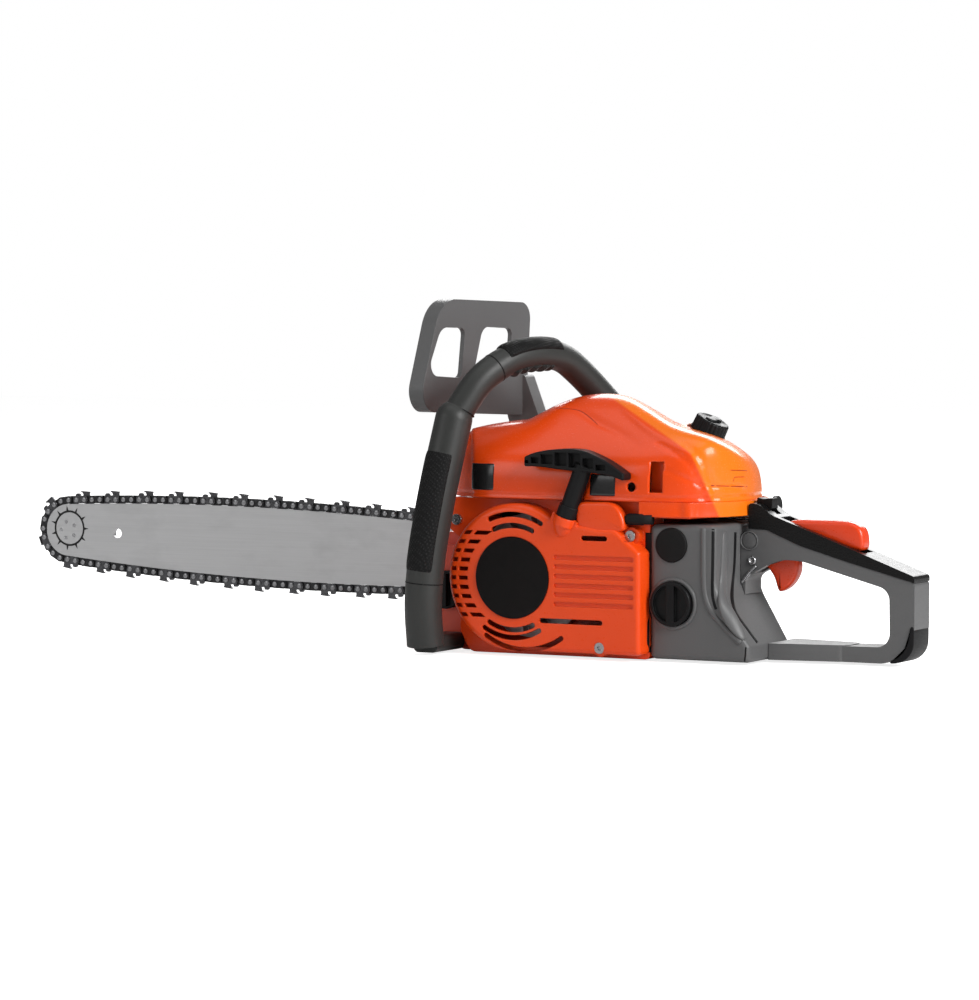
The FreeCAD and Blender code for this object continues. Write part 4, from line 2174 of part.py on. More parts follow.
def trigger_room():
    """The pocket in the rear handle that the trigger swings in, and the way of its upper arm."""
    low = handle_centre_y - trigger_half_width - trigger_pocket_gap
    high = handle_centre_y + trigger_half_width + trigger_pocket_gap
    pocket = block(trigger_pivot_x - trigger_room_rear, trigger_pivot_x + trigger_room_front, low, high,
                   trigger_pivot_z - trigger_drop, trigger_pivot_z + trigger_room_rise)
    arm_half = trigger_arm_half_width + trigger_pocket_gap
    arm_way = block(trigger_pivot_x - trigger_arm_room, handle_front + overrun, handle_centre_y - arm_half,
                    handle_centre_y + arm_half, trigger_pivot_z,
                     trigger_pivot_z + trigger_arm_height + trigger_arm_room)
    return [pocket, arm_way]


def make_throttle_lockout():
    low = handle_centre_y - lockout_half_width
    high = handle_centre_y + lockout_half_width
    points = outline(lockout_shares, lockout_pivot_x - lockout_length, lockout_pivot_x + lockout_front,
                     lockout_low, lockout_low + lockout_height)
    body = prism(points, "xz", low, high)
    return body.cut(bar_y(lockout_pivot_x, lockout_pivot_z, lockout_pin_radius + running_gap,
                          low - overrun, high + overrun))


def lockout_room():
    low = handle_centre_y - lockout_half_width - trigger_pocket_gap
    high = handle_centre_y + lockout_half_width + trigger_pocket_gap
    sweep = lockout_length * math.tan(math.radians(lockout_travel_deg)) + trigger_pocket_gap
    return block(lockout_pivot_x - lockout_length - trigger_pocket_gap,
                 lockout_pivot_x + lockout_front + trigger_pocket_gap, low, high,
                 lockout_low - sweep, handle_high + overrun)


def pivot_pin(x, z, radius):
    """A pin across the rear handle that a control turns on."""
    reach = trigger_half_width + pivot_pin_grip
    return bar_y(x, z, radius, handle_centre_y - reach, handle_centre_y + reach)


def make_rear_handle():
    low = handle_centre_y - handle_half_width
    high = handle_centre_y + handle_half_width
    body = prism(handle_points(), "xz", low, high)
    body = body.cut(prism(window_points(), "xz", low - overrun, high + overrun))
    foot = prism([
        (tank_foot_rear - seat_gap, foot_bar_right, 0),
        (tank_foot_rear - seat_gap, foot_bar_left, 0),
        (foot_bar_end, high, overrun * 2),
        (foot_bar_end, low, overrun * 2),
    ], "xy", handle_low, foot_bar_high)
    body = join([body, foot])
    body = cut_all(body, trigger_room() + [lockout_room()])
    return join([body, pivot_pin(trigger_pivot_x, trigger_pivot_z, pivot_pin_radius),
                 pivot_pin(lockout_pivot_x, lockout_pivot_z, lockout_pin_radius)])


def make_grip_cover():
    low = handle_centre_y - handle_half_width - grip_cover_overhang
    high = handle_centre_y + handle_half_width + grip_cover_overhang
    body = prism(grip_cover_points(), "xz", low, high)
    pin_room = pivot_pin(lockout_pivot_x, lockout_pivot_z, lockout_pin_radius + bolt_gap)
    switch_room = block(switch_x - switch_length - seat_gap, switch_x + seat_gap,
                        handle_centre_y - switch_half_width - seat_gap,
                         handle_centre_y + switch_half_width + seat_gap,
                        switch_low - seat_gap, handle_high + overrun)
    return cut_all(body, trigger_room() + [lockout_room(), pin_room, switch_room])


def make_throttle_rod():
    z = trigger_pivot_z + trigger_arm_height + throttle_rod_radius + bolt_gap
    return bar_x(handle_centre_y, z, throttle_rod_radius, throttle_rod_rear, throttle_rod_front)


def make_choke_knob():
    rod = bar_x(choke_y, choke_z, choke_rod_radius, choke_x_rear, choke_rod_front)
    neck = bar_x(choke_y, choke_z, choke_knob_neck_radius, choke_x_rear, choke_x_front)
    disc = bar_x(choke_y, choke_z, choke_knob_radius, choke_x_rear - choke_knob_thickness, choke_x_rear)
    return join([rod, neck, disc])


def make_stop_switch():
    """The rocker that stops the engine, in the grip cover's front end, with its finger ribs."""
    body = prism([
        (switch_x - switch_length, switch_low + switch_height, switch_round),
        (switch_x - switch_length / 2, switch_low, switch_length / 2),
        (switch_x, switch_low + switch_height, switch_round),
        (switch_x, switch_top, switch_round),
        (switch_x - switch_length / 2, switch_top - switch_round, switch_length / 2),
        (switch_x - switch_length, switch_top, switch_round),
    ], "xz", handle_centre_y - switch_half_width, handle_centre_y + switch_half_width)
    return body


# Front handle and guard

# heights in this route are from the crankshaft's axis, but its first point stands on the foot
front_route = [
    (71.0, 102.0, -55.0), (71.0, 107.0, -23.0), (68.0, 106.0, 15.0), (60.5, 101.0, 67.0), (51.8, 90.0,
        125.0),
    (37.0, 74.0, 157.0), (23.0, 52.0, 173.0), (12.0, 24.0, 177.5), (4.5, -6.0, 174.5), (0.0, -38.0, 157.0),
    (-10.0, -64.0, 133.0), (-30.0, -82.0, 104.0), (-60.0, -86.0, 79.0), (-90.0, -83.0, 59.0),
    (-118.0, -74.0, 42.0), (-138.0, -66.0, 31.0),
]
front_leg_points = 5


def make_front_handle():
    points = [vector(x, y, crank_height + z) for x, y, z in front_route]
    points[0].z = front_leg_foot
    leg = tube(points[:front_leg_points], front_leg_radius, bend_share)
    cone_end = points[front_leg_points - 1]
    ball = Part.makeSphere(front_leg_radius, cone_end)
    body = join([tube(points[front_leg_points - 1:], front_tube_radius, bend_share), leg, ball])
    floor = block(case_rear * 4, case_front * 4, case_rear * 4, case_front * 4, -overrun * 4,
                  front_foot_low)
    body = body.cut(floor)
    wall = block(front_lug_rear * 2, case_front, tank_right - seat_gap, tank_left, 0, case_top * 2)
    end = body.common(block(front_lug_rear * 2, front_lug_front, tank_right * 4, tank_left, 0,
                            case_top * 2))
    foot = prism(rectangle(front_foot_rear, front_foot_front, front_foot_low, front_foot_high,
                           (front_foot_high - front_foot_low) / 3), "xz",
                  oil_tank_left + seat_gap, front_route[0][1])
    lug = prism(rectangle(front_lug_rear, front_lug_front, front_lug_low, front_lug_high,
                          case_corner_radius / 2),
                "xz", tank_right - seat_gap - front_lug_thickness, tank_right - seat_gap)
    cut_zone = block(front_lug_rear * 2, front_lug_front * 0.8, tank_right - seat_gap, tank_left, 0,
                     case_top * 2)
    body = body.cut(cut_zone)
    return join([body, foot, lug])


guard_shares = [
    (1.000, 0.060, 0.180), (0.800, 1.000, 0.320), (0.000, 0.960, 0.140), (0.045, -0.010, 0.040),
]
guard_left_window_shares = [
    (0.925, 0.360, 0.100), (0.800, 0.760, 0.150), (0.590, 0.750, 0.060), (0.625, 0.330, 0.060),
]
guard_right_window_shares = [
    (0.515, 0.370, 0.060), (0.435, 0.760, 0.120), (0.170, 0.740, 0.060), (0.200, 0.340, 0.060),
]


def guard_outline(shares):
    return outline(shares, -guard_half_width, guard_half_width, guard_low, guard_high)


def guard_windows():
    shapes = []
    for shares in (guard_left_window_shares, guard_right_window_shares):
        shapes.append(prism(guard_outline(shares), "yz", -guard_rim, guard_rim * 2))
    return shapes


def make_hand_guard():
    plate = prism(guard_outline(guard_shares), "yz", 0, guard_rim)
    room = prism(guard_outline(guard_shares), "yz", guard_plate, guard_rim + overrun, guard_rim_wall)
    plate = cut_all(plate, [room] + guard_windows())
    plate = turned(plate, vector(0, 0, 0), Z, -guard_skew_deg)
    plate = moved(plate, guard_x, guard_y, 0)
    height = guard_high - guard_low
    arm = prism([
        (guard_x - guard_rim * 0.6, guard_low + height * 0.34, guard_rim_wall),
        (guard_x - guard_rim * 1.5, guard_low, guard_arm_bend),
        (guard_pivot_x - guard_boss_radius * 0.3, guard_pivot_z + guard_boss_radius * 1.2, guard_arm_bend),
        (guard_pivot_x - guard_boss_radius, guard_pivot_z, guard_boss_radius * 0.7),
        (guard_pivot_x, guard_pivot_z - guard_boss_radius, guard_boss_radius * 0.7),
        (guard_pivot_x + guard_boss_radius * 1.3, guard_pivot_z - guard_boss_radius * 0.2,
         guard_boss_radius * 0.8),
        (guard_x, guard_low - height * 0.25, guard_arm_bend * 2),
        (guard_x + guard_rim * 0.6, guard_low, guard_arm_bend),
        (guard_x + guard_rim * 0.5, guard_low + height * 0.34, guard_rim_wall),
    ], "xz", guard_arm_outer, guard_arm_inner)
    whole = join([plate, arm])
    return whole.cut(bar_y(guard_pivot_x, guard_pivot_z, guard_pin_radius + running_gap,
                           guard_arm_outer - overrun, guard_arm_inner + overrun))


def main():
    os.makedirs("parts", exist_ok=True)
    drives, ties, cutters = make_chain()
    pieces = {
        "guide_bar": make_guide_bar(),
        "nose_sprocket": make_nose_sprocket(),
        "nose_rivets": make_nose_rivets(),
        "chain_drive_links": drives,
        "chain_tie_links": ties,
        "chain_cutters": cutters,
        "crankcase_left": make_crankcase_left(),
        "crankcase_right": make_crankcase_right(),
        "engine_screws": make_engine_screws(),
        "cylinder": make_cylinder(),
        "spark_plug": make_spark_plug(),
        "plug_boot": make_plug_boot(),
        "piston": make_piston(),
        "piston_pin": make_piston_pin(),
        "connecting_rod": make_connecting_rod(),
        "crankshaft": make_crankshaft(),
        "crank_bearings": make_crank_bearings(),
        "muffler": make_muffler(),
        "intake_boot": make_intake_boot(),
        "carburettor": make_carburettor(),
        "air_filter": make_air_filter(),
        "flywheel": make_flywheel(),
        "starter_pawls": make_starter_pawls(),
        "ignition_coil": make_ignition_coil(),
        "starter_pulley": make_starter_pulley(),
        "starter_rope": make_starter_rope(),
        "recoil_spring": make_recoil_spring(),
        "starter_cover": make_starter_cover(),
        "starter_disc": make_starter_disc(),
        "cover_screws": make_cover_screws(),
        "rope_guide": make_rope_guide(),
        "starter_grip": make_starter_grip(),
        "top_cover": make_top_cover(),
        "cover_knob": make_cover_knob(),
        "carburettor_box": make_carburettor_box(),
        "clutch_drum": make_clutch_drum(),
        "clutch_hub": make_clutch_hub(),
        "clutch_shoes": make_clutch_shoes(),
        "brake_band": make_brake_band(),
        "clutch_cover": make_clutch_cover(),
        "bar_studs": make_bar_studs(),
        "bar_nuts": make_bar_nuts(),
        "bumper_spikes": make_bumper_spikes(),
        "chain_catcher": make_chain_catcher(),
        "tension_screw": make_tension_screw(),
        "tension_pin": make_tension_pin(),
        "oil_pump": make_oil_pump(),
        "fuel_tank": make_fuel_tank(),
        "fuel_cap": make_fuel_cap(),
        "oil_cap": make_oil_cap(),
        "av_dampers": make_av_dampers(),
        "rear_handle": make_rear_handle(),
        "grip_cover": make_grip_cover(),
        "throttle_trigger": make_throttle_trigger(),
        "throttle_lockout": make_throttle_lockout(),
        "throttle_rod": make_throttle_rod(),
        "choke_knob": make_choke_knob(),
        "stop_switch": make_stop_switch(),
        "front_handle": make_front_handle(),
        "hand_guard": make_hand_guard(),
    }
    for name, shape in pieces.items():
        export(name, shape)
    print("sprocket distance", round(nose_distance, 3), "nose centre", nose_place())


main()
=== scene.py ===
import math
import bmesh
import bpy
import numpy as np
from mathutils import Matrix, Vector
from mathutils.bvhtree import BVHTree


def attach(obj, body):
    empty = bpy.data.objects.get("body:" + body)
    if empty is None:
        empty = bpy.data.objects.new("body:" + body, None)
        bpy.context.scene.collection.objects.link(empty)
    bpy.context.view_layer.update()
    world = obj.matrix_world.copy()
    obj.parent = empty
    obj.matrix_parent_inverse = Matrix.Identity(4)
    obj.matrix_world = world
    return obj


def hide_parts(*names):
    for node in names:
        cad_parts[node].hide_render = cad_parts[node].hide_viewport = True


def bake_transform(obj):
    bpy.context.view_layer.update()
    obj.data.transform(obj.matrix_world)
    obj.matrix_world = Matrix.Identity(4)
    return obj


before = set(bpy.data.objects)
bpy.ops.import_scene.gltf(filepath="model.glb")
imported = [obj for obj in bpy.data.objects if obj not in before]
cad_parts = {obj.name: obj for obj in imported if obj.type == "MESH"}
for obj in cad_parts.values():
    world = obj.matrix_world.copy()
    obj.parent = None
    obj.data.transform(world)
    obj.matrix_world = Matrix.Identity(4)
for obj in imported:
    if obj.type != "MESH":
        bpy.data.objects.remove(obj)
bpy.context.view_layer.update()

scene = bpy.context.scene
mm = 0.001

# The upright plane along the starter side, and how far a point behind it falls back and up on it for each
# millimetre of depth, when it is seen slantwise from the front left.
sidePlane = {"y": 76.0, "back": 0.5385, "up": 0.0595}
print("frame loaded:", len(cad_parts), "nodes")


# Shader helpers: a new material with its node tree and its shader.
def newMaterial(name):
    made = bpy.data.materials.new(name)
    made.use_nodes = True
    return made, made.node_tree, made.node_tree.nodes["Principled BSDF"]


def addNode(tree, kind, **settings):
    node = tree.nodes.new("ShaderNode" + kind)
    for key, value in settings.items():
        setattr(node, key, value)
    return node


# Links fields to a node's sockets, and sets plain values on them.
def feed(tree, node, values):
    for socket, value in values.items():
        if isinstance(value, bpy.types.NodeSocket):
            tree.links.new(value, node.inputs[socket])
        else:
            node.inputs[socket].default_value = value


# Object coordinates, stretched and turned.
def objectPoints(tree, scale=(1, 1, 1), turn=(0, 0, 0)):
    points = addNode(tree, "TexCoord")
    mapping = addNode(tree, "Mapping")
    feed(tree, mapping, {"Scale": scale, "Rotation": turn, "Vector": points.outputs["Object"]})
    return mapping.outputs["Vector"]


def noiseField(tree, points, scale, detail=3.0, rough=0.5):
    node = addNode(tree, "TexNoise")
    feed(tree, node, {"Scale": scale, "Detail": detail, "Roughness": rough, "Vector": points})
    return node.outputs["Fac"]


def mathNode(tree, operation, first, second=None, clamp=False):
    node = addNode(tree, "Math", operation=operation, use_clamp=clamp)
    feed(tree, node, {0: first} if second is None else {0: first, 1: second})
    return node.outputs[0]


# A field carried from one span of values to another.
def spread(tree, field, low, high, fromLow=0.3, fromHigh=0.7):
    node = addNode(tree, "MapRange")
    limits = {"From Min": fromLow, "From Max": fromHigh, "To Min": low, "To Max": high}
    feed(tree, node, {"Value": field, **limits})
    return node.outputs["Result"]


def mixColours(tree, share, first, second, kind="MIX"):
    node = addNode(tree, "Mix", data_type="RGBA", blend_type=kind)
    entries = [number for number, socket in enumerate(node.inputs) if socket.type == "RGBA"]
    first, second = [(*value[:3], 1) if isinstance(value, tuple) else value for value in (first, second)]
    feed(tree, node, {"Factor": share, entries[0]: first, entries[1]: second})
    return [socket for socket in node.outputs if socket.type == "RGBA"][0]


# The normal with its edges rounded off, and a mask that is bright along those edges.
def softEdges(tree, radius):
    bevel = addNode(tree, "Bevel", samples=6)
    feed(tree, bevel, {"Radius": radius})
    here = addNode(tree, "NewGeometry")
    dot = addNode(tree, "VectorMath", operation="DOT_PRODUCT")
    feed(tree, dot, {0: bevel.outputs["Normal"], 1: here.outputs["Normal"]})
    return bevel.outputs["Normal"], spread(tree, dot.outputs["Value"], 1.0, 0.0, 0.7, 0.99)


def bumped(tree, height, depth, strength, normal=None):
    node = addNode(tree, "Bump")
    feed(tree, node, {"Height": height, "Distance": depth, "Strength": strength})
    if normal is not None:
        feed(tree, node, {"Normal": normal})
    return node.outputs["Normal"]


def times(colour, share):
    return tuple(min(1.0, c * share) for c in colour[:3])


# The ridge of the top cover on the side plane, in metres: the upper slope from a height, and the rear one
# from its foot.
# Beyond this ridge the cover's top and rear are painted lighter and yellower: painted light.
ridgeLook = {"slope": 0.646, "height": 0.262, "foot": (-0.1509, 0.1645), "lean": 0.526,
             "fade": (-0.001, 0.0015)}


# The mask of the painted light on the cover's top and rear: 0 in front of the ridge and 1 beyond it, from the
# greater of a point's distances over the upper slope and behind the rear one, with the far side folded on to
# the near side.
def paintedLightBeyondRidge(tree, look):
    parts = addNode(tree, "SeparateXYZ")
    feed(tree, parts, {0: addNode(tree, "TexCoord").outputs["Object"]})
    x, y, z = parts.outputs
    depth = mathNode(tree, "SUBTRACT", sidePlane["y"] * mm, mathNode(tree, "ABSOLUTE", y))
    a = mathNode(tree, "SUBTRACT", x, mathNode(tree, "MULTIPLY", depth, sidePlane["back"]))
    b = mathNode(tree, "ADD", z, mathNode(tree, "MULTIPLY", depth, sidePlane["up"]))
    slope = mathNode(tree, "ADD", mathNode(tree, "MULTIPLY", a, look["slope"]), look["height"])
    upper = mathNode(tree, "SUBTRACT", b, slope)
    footA, footB = look["foot"]
    lean = mathNode(tree, "MULTIPLY", mathNode(tree, "SUBTRACT", b, footB), look["lean"])
    rear = mathNode(tree, "ADD", lean, mathNode(tree, "SUBTRACT", footA, a))
    return spread(tree, mathNode(tree, "MAXIMUM", upper, rear), 0.0, 1.0, *look["fade"])


plasticLook = {
    "tone": 0.05, "driftScale": 14.0, "roughSpread": 0.04, "grainScale": 900.0, "grainDepth": 0.00002,
    "scuffStretch": (30, 30, 130), "scuffTurn": (0.5, 0.3, 0.8), "scuffScale": 5.0, "wear": 0.35,
    "edgeRadius": 0.0008, "specular": 0.5, "coat": 0.0, "coatRough": 0.1,
}


# Moulded plastic: a slow drift of tone, fine grain, faint scuffs, and edges rubbed paler; with a painted
# light colour, painted light makes the top and rear beyond the ridge lighter.
def mouldedPlastic(name, **look):
    look = {**plasticLook, "wornColour": times(look["colour"], 1.7), **look}
    made, tree, shader = newMaterial(name)
    points = objectPoints(tree)
    normal, edge = softEdges(tree, look["edgeRadius"])
    drift = noiseField(tree, points, look["driftScale"], 2.0)
    grain = noiseField(tree, points, look["grainScale"], 2.0, 0.6)
    scuffPoints = objectPoints(tree, look["scuffStretch"], look["scuffTurn"])
    scuff = noiseField(tree, scuffPoints, look["scuffScale"], 5.0, 0.7)
    colour = look["colour"]
    # Painted light: beyond the ridge the colour turns lighter and yellower, where the top and rear face the
    # lamps.
    if "beyondColour" in look:
        colour = mixColours(tree, paintedLightBeyondRidge(tree, ridgeLook), colour, look["beyondColour"])
    shade = mixColours(tree, spread(tree, drift, 0, 1), (1 - look["tone"],) * 3, (1, 1, 1))
    base = mixColours(tree, 1.0, colour, shade, "MULTIPLY")
    worn = mathNode(tree, "MULTIPLY", edge, spread(tree, scuff, 0.0, look["wear"], 0.35, 0.65), clamp=True)
    smoothest, roughest = look["rough"] - look["roughSpread"], look["rough"] + look["roughSpread"]
    scuffed = spread(tree, scuff, smoothest, roughest)
    feed(tree, shader, {
        "Base Color": mixColours(tree, worn, base, look["wornColour"]),
        "Roughness": mathNode(tree, "ADD", scuffed, spread(tree, grain, -0.03, 0.03), clamp=True),
        "Normal": bumped(tree, grain, look["grainDepth"], 0.6, normal),
        "Specular IOR Level": look["specular"], "Coat Weight": look["coat"],
        "Coat Roughness": look["coatRough"],
    })
    return made


steelLook = {
    "stretch": (3, 260, 260), "stainStretch": (6, 14, 14), "stain": 0.3, "depth": 0.00004, "wear": 0.4,
    "edgeRadius": 0.0004, "metal": 1.0, "anisotropic": 0.3,
}


# Steel ground along one direction: fine long streaks in tone, roughness and height, and slow stains.
def brushedSteel(name, **look):
    look = {**steelLook, **look}
    made, tree, shader = newMaterial(name)
    colour, tone, rough = look["colour"], look["tone"], look["rough"]
    streak = noiseField(tree, objectPoints(tree, look["stretch"]), 4.0, 4.0, 0.65)
    stain = noiseField(tree, objectPoints(tree, look["stainStretch"]), 2.4, 4.0, 0.6)
    normal, edge = softEdges(tree, look["edgeRadius"])
    ground = mixColours(tree, spread(tree, streak, 0, 1), times(colour, 1 - tone), times(colour, 1 + tone))
    stained = mixColours(tree, spread(tree, stain, 0.0, look["stain"], 0.5, 0.75), ground,
                         times(colour, 0.55))
    bright = mathNode(tree, "MULTIPLY", edge, look["wear"], clamp=True)
    streaked = spread(tree, streak, rough - 0.07, rough + 0.07)
    feed(tree, shader, {
        "Base Color": mixColours(tree, bright, stained, times(colour, 1.8)),
        "Roughness": mathNode(tree, "ADD", streaked, spread(tree, stain, -0.03, 0.08), clamp=True),
        "Normal": bumped(tree, streak, look["depth"], 0.5, normal),
        "Metallic": look["metal"], "Anisotropic": look["anisotropic"],
    })
    return made


# Cast metal: pitted skin under a cloudy tone, with paler edges.
def castMetal(name, **look):
    made, tree, shader = newMaterial(name)
    points = objectPoints(tree)
    normal, edge = softEdges(tree, look["edgeRadius"])
    skin = noiseField(tree, points, look["skinScale"], 3.0, 0.6)
    cloud = noiseField(tree, points, 25.0, 3.0)
    darker, paler = times(look["colour"], 0.86), times(look["colour"], 1.12)
    base = mixColours(tree, spread(tree, cloud, 0, 1), darker, paler)
    worn = mathNode(tree, "MULTIPLY", edge, look["wear"])
    feed(tree, shader, {
        "Base Color": mixColours(tree, worn, base, look["wornColour"]),
        "Roughness": spread(tree, skin, look["rough"] - 0.08, look["rough"] + 0.1),
        "Normal": bumped(tree, skin, 0.00012, 0.6, normal), "Metallic": look["metal"],
    })
    return made


# Rubber: fine grain, and paler dust in patches.
def softRubber(name, colour, rough):
    made, tree, shader = newMaterial(name)
    points = objectPoints(tree)
    grain = noiseField(tree, points, 1400.0, 3.0, 0.6)
    dust = noiseField(tree, points, 60.0, 4.0, 0.6)
    feed(tree, shader, {
        "Base Color": mixColours(tree, spread(tree, dust, 0.0, 0.35, 0.45, 0.8), colour, times(colour, 2.4)),
        "Roughness": spread(tree, dust, rough - 0.06, rough + 0.08),
        "Normal": bumped(tree, grain, 0.00015, 0.5), "Specular IOR Level": 0.15,
    })
    return made


# Woven mesh: two crossing rows of wires, the higher of two wave patterns, with dark holes between; the holes'
# darkness is painted shade seen through the openings.
def meshScreen(name, colour, waveScale):
    made, tree, shader = newMaterial(name)
    waves = []
    for turn in math.radians(45), math.radians(135):
        node = addNode(tree, "TexWave", wave_type="BANDS", bands_direction="X")
        feed(tree, node, {"Scale": waveScale, "Vector": objectPoints(tree, turn=(0, turn, 0))})
        waves.append(node.outputs["Fac"])
    weave = mathNode(tree, "MAXIMUM", *waves)
    wire = spread(tree, weave, 0, 1, 0.4, 0.9)
    feed(tree, shader, {
        "Base Color": mixColours(tree, wire, times(colour, 0.4), times(colour, 1.8)),
        "Roughness": spread(tree, weave, 0.7, 0.42, 0.0, 1.0),
        "Normal": bumped(tree, weave, 0.0005, 0.8), "Specular IOR Level": 0.12,
    })
    return made


# Rubber with a fine field of raised dots, a pitch apart. The dots are painted paler and the ground between
# them darker:
# painted light on the dots and painted shade between them.
def padTexture(name, colour, rough, pitch):
    made, tree, shader = newMaterial(name)
    cells = addNode(tree, "TexVoronoi", feature="F1")
    points = objectPoints(tree, turn=(0.4, 0.6, 0.3))
    feed(tree, cells, {"Scale": 1.0 / pitch, "Randomness": 0.15, "Vector": points})
    dots = spread(tree, cells.outputs["Distance"], 1.0, 0.0, 0.15, 0.5)
    feed(tree, shader, {
        "Base Color": mixColours(tree, dots, times(colour, 0.7), times(colour, 1.6)),
        "Roughness": spread(tree, dots, rough + 0.1, rough - 0.08, 0.0, 1.0),
        "Normal": bumped(tree, dots, 0.0005, 0.9), "Specular IOR Level": 0.15,
    })
    return made


# Felt or rope: fine fibres in tone and height.
def feltPad(name, colour):
    made, tree, shader = newMaterial(name)
    fibre = noiseField(tree, objectPoints(tree, (1, 1, 4)), 700.0, 6.0, 0.7)
    feed(tree, shader, {
        "Base Color": mixColours(tree, spread(tree, fibre, 0, 1), times(colour, 0.75), times(colour, 1.15)),
        "Roughness": spread(tree, noiseField(tree, objectPoints(tree), 40.0), 0.8, 0.98),
        "Normal": bumped(tree, fibre, 0.0006, 0.7), "Sheen Weight": 0.3,
    })
    return made


finishes = {
    "orangeSide": mouldedPlastic(
        "sideOrangePlastic", colour=(0.78, 0.062, 0.004), rough=0.3, roughSpread=0.02, coat=0.05,
        specular=0.35, wear=0.12, wornColour=(0.92, 0.2, 0.06), edgeRadius=0.0012),
    # The top orange is the side orange with painted light: lighter and yellower beyond the ridge.
    "orangeTop": mouldedPlastic(
        "topOrangePlastic", colour=(0.78, 0.062, 0.004), beyondColour=(0.88, 0.17, 0.006), rough=0.25,
        roughSpread=0.02, coat=0.1, specular=0.35, wear=0.12, wornColour=(0.95, 0.28, 0.06),
        edgeRadius=0.0012),
    "rivetSteel": brushedSteel(
        "rivetSteel", colour=(0.3, 0.3, 0.31), tone=0.2, rough=0.3, stretch=(200, 200, 200), stain=0.4,
        wear=0.5, edgeRadius=0.0002),
    "markBlack": mouldedPlastic(
        "printedBlack", colour=(0.012, 0.012, 0.012), tone=0.2, rough=0.5, roughSpread=0.05,
        grainScale=1500.0, grainDepth=0.00001, wear=0.0, edgeRadius=0.0001, specular=0.3),
    # Dark orange for the top cover's seams: the plastic's orange darkened, as painted shade in the seams.
    "orangeSeamShade": mouldedPlastic(
        "seamShadeOrange", colour=(0.3, 0.018, 0.002), rough=0.5, roughSpread=0.02, grainDepth=0.00001,
        wear=0.0, specular=0.2, edgeRadius=0.0002),
    "greyPlastic": mouldedPlastic(
        "greyGlassPlastic", colour=(0.105, 0.105, 0.106), tone=0.06, rough=0.4, grainScale=1100.0,
        grainDepth=0.0001, wear=0.3, edgeRadius=0.001, specular=0.35),
    "blackPlastic": mouldedPlastic(
        "blackPlastic", colour=(0.007, 0.007, 0.0075), tone=0.15, rough=0.4, roughSpread=0.05,
        grainDepth=0.00008, wear=0.25, wornColour=(0.05, 0.05, 0.05), specular=0.16),
    "gripBlack": mouldedPlastic(
        "gripCoverPlastic", colour=(0.007, 0.0068, 0.0068), tone=0.12, rough=0.28, grainDepth=0.00006,
        wear=0.3, wornColour=(0.09, 0.09, 0.09), specular=0.16),
    "handleBlack": mouldedPlastic(
        "frontHandlePlastic", colour=(0.026, 0.027, 0.0255), tone=0.1, rough=0.45, roughSpread=0.05,
        grainScale=1000.0, grainDepth=0.0001, wear=0.2, wornColour=(0.1, 0.1, 0.1), specular=0.4),
    "controlRed": mouldedPlastic(
        "controlRedPlastic", colour=(0.72, 0.045, 0.003), rough=0.3, roughSpread=0.03, grainDepth=0.00003,
        coat=0.15, wear=0.15, wornColour=(0.9, 0.15, 0.05)),
    "caseRed": mouldedPlastic(
        "crankcasePaint", colour=(0.62, 0.04, 0.003), tone=0.08, rough=0.38, grainScale=500.0,
        grainDepth=0.00012, coat=0.1, wear=0.2, wornColour=(0.8, 0.2, 0.08), edgeRadius=0.001),
    "castAlloy": castMetal(
        "castAlloy", colour=(0.42, 0.42, 0.43), rough=0.5, skinScale=900.0, wear=0.35,
        wornColour=(0.5, 0.5, 0.5), edgeRadius=0.0008, metal=0.9),
    "mufflerSteel": brushedSteel(
        "mufflerSteel", colour=(0.2, 0.19, 0.18), tone=0.15, rough=0.45, stretch=(60, 60, 60), stain=0.6),
    "barSteel": brushedSteel(
        "barSteel", colour=(0.56, 0.56, 0.565), tone=0.05, rough=0.38, metal=0.85, edgeRadius=0.0003),
    "chainSteel": brushedSteel(
        "chainSteel", colour=(0.05, 0.05, 0.052), tone=0.3, rough=0.35, stretch=(120, 120, 120), stain=0.5,
        wear=0.5, edgeRadius=0.0002),
    "cutterSteel": brushedSteel(
        "cutterSteel", colour=(0.1, 0.1, 0.105), tone=0.25, rough=0.25, stretch=(120, 120, 120), wear=0.8,
        edgeRadius=0.0002),
    "darkSteel": brushedSteel(
        "darkSteel", colour=(0.17, 0.17, 0.175), tone=0.12, rough=0.35, stretch=(60, 60, 60)),
    "brightSteel": brushedSteel(
        "zincSteel", colour=(0.42, 0.42, 0.43), tone=0.08, rough=0.22, stretch=(90, 90, 90), stain=0.2),
    "blackRubber": softRubber("blackRubber", colour=(0.007, 0.007, 0.007), rough=0.6),
    "padBlack": padTexture("padRubber", colour=(0.009, 0.009, 0.009), rough=0.55, pitch=0.0022),
    "badge": mouldedPlastic(
        "bareBadge", colour=(0.008, 0.008, 0.0085), tone=0.1, rough=0.2, grainScale=300.0, coat=0.4, wear=0.5,
        wornColour=(0.35, 0.35, 0.35), edgeRadius=0.0006),
    "meshDisc": meshScreen("blackMesh", colour=(0.006, 0.005, 0.005), waveScale=1427.27),
    "filterFelt": feltPad("filterFelt", colour=(0.6, 0.57, 0.48)),
    "ropeWhite": feltPad("ropeFibre", colour=(0.72, 0.71, 0.67)),
    "ceramic": mouldedPlastic(
        "plugCeramic", colour=(0.8, 0.79, 0.76), tone=0.03, rough=0.15, grainScale=300.0, coat=0.5,
        wornColour=(0.85, 0.84, 0.8)),
}

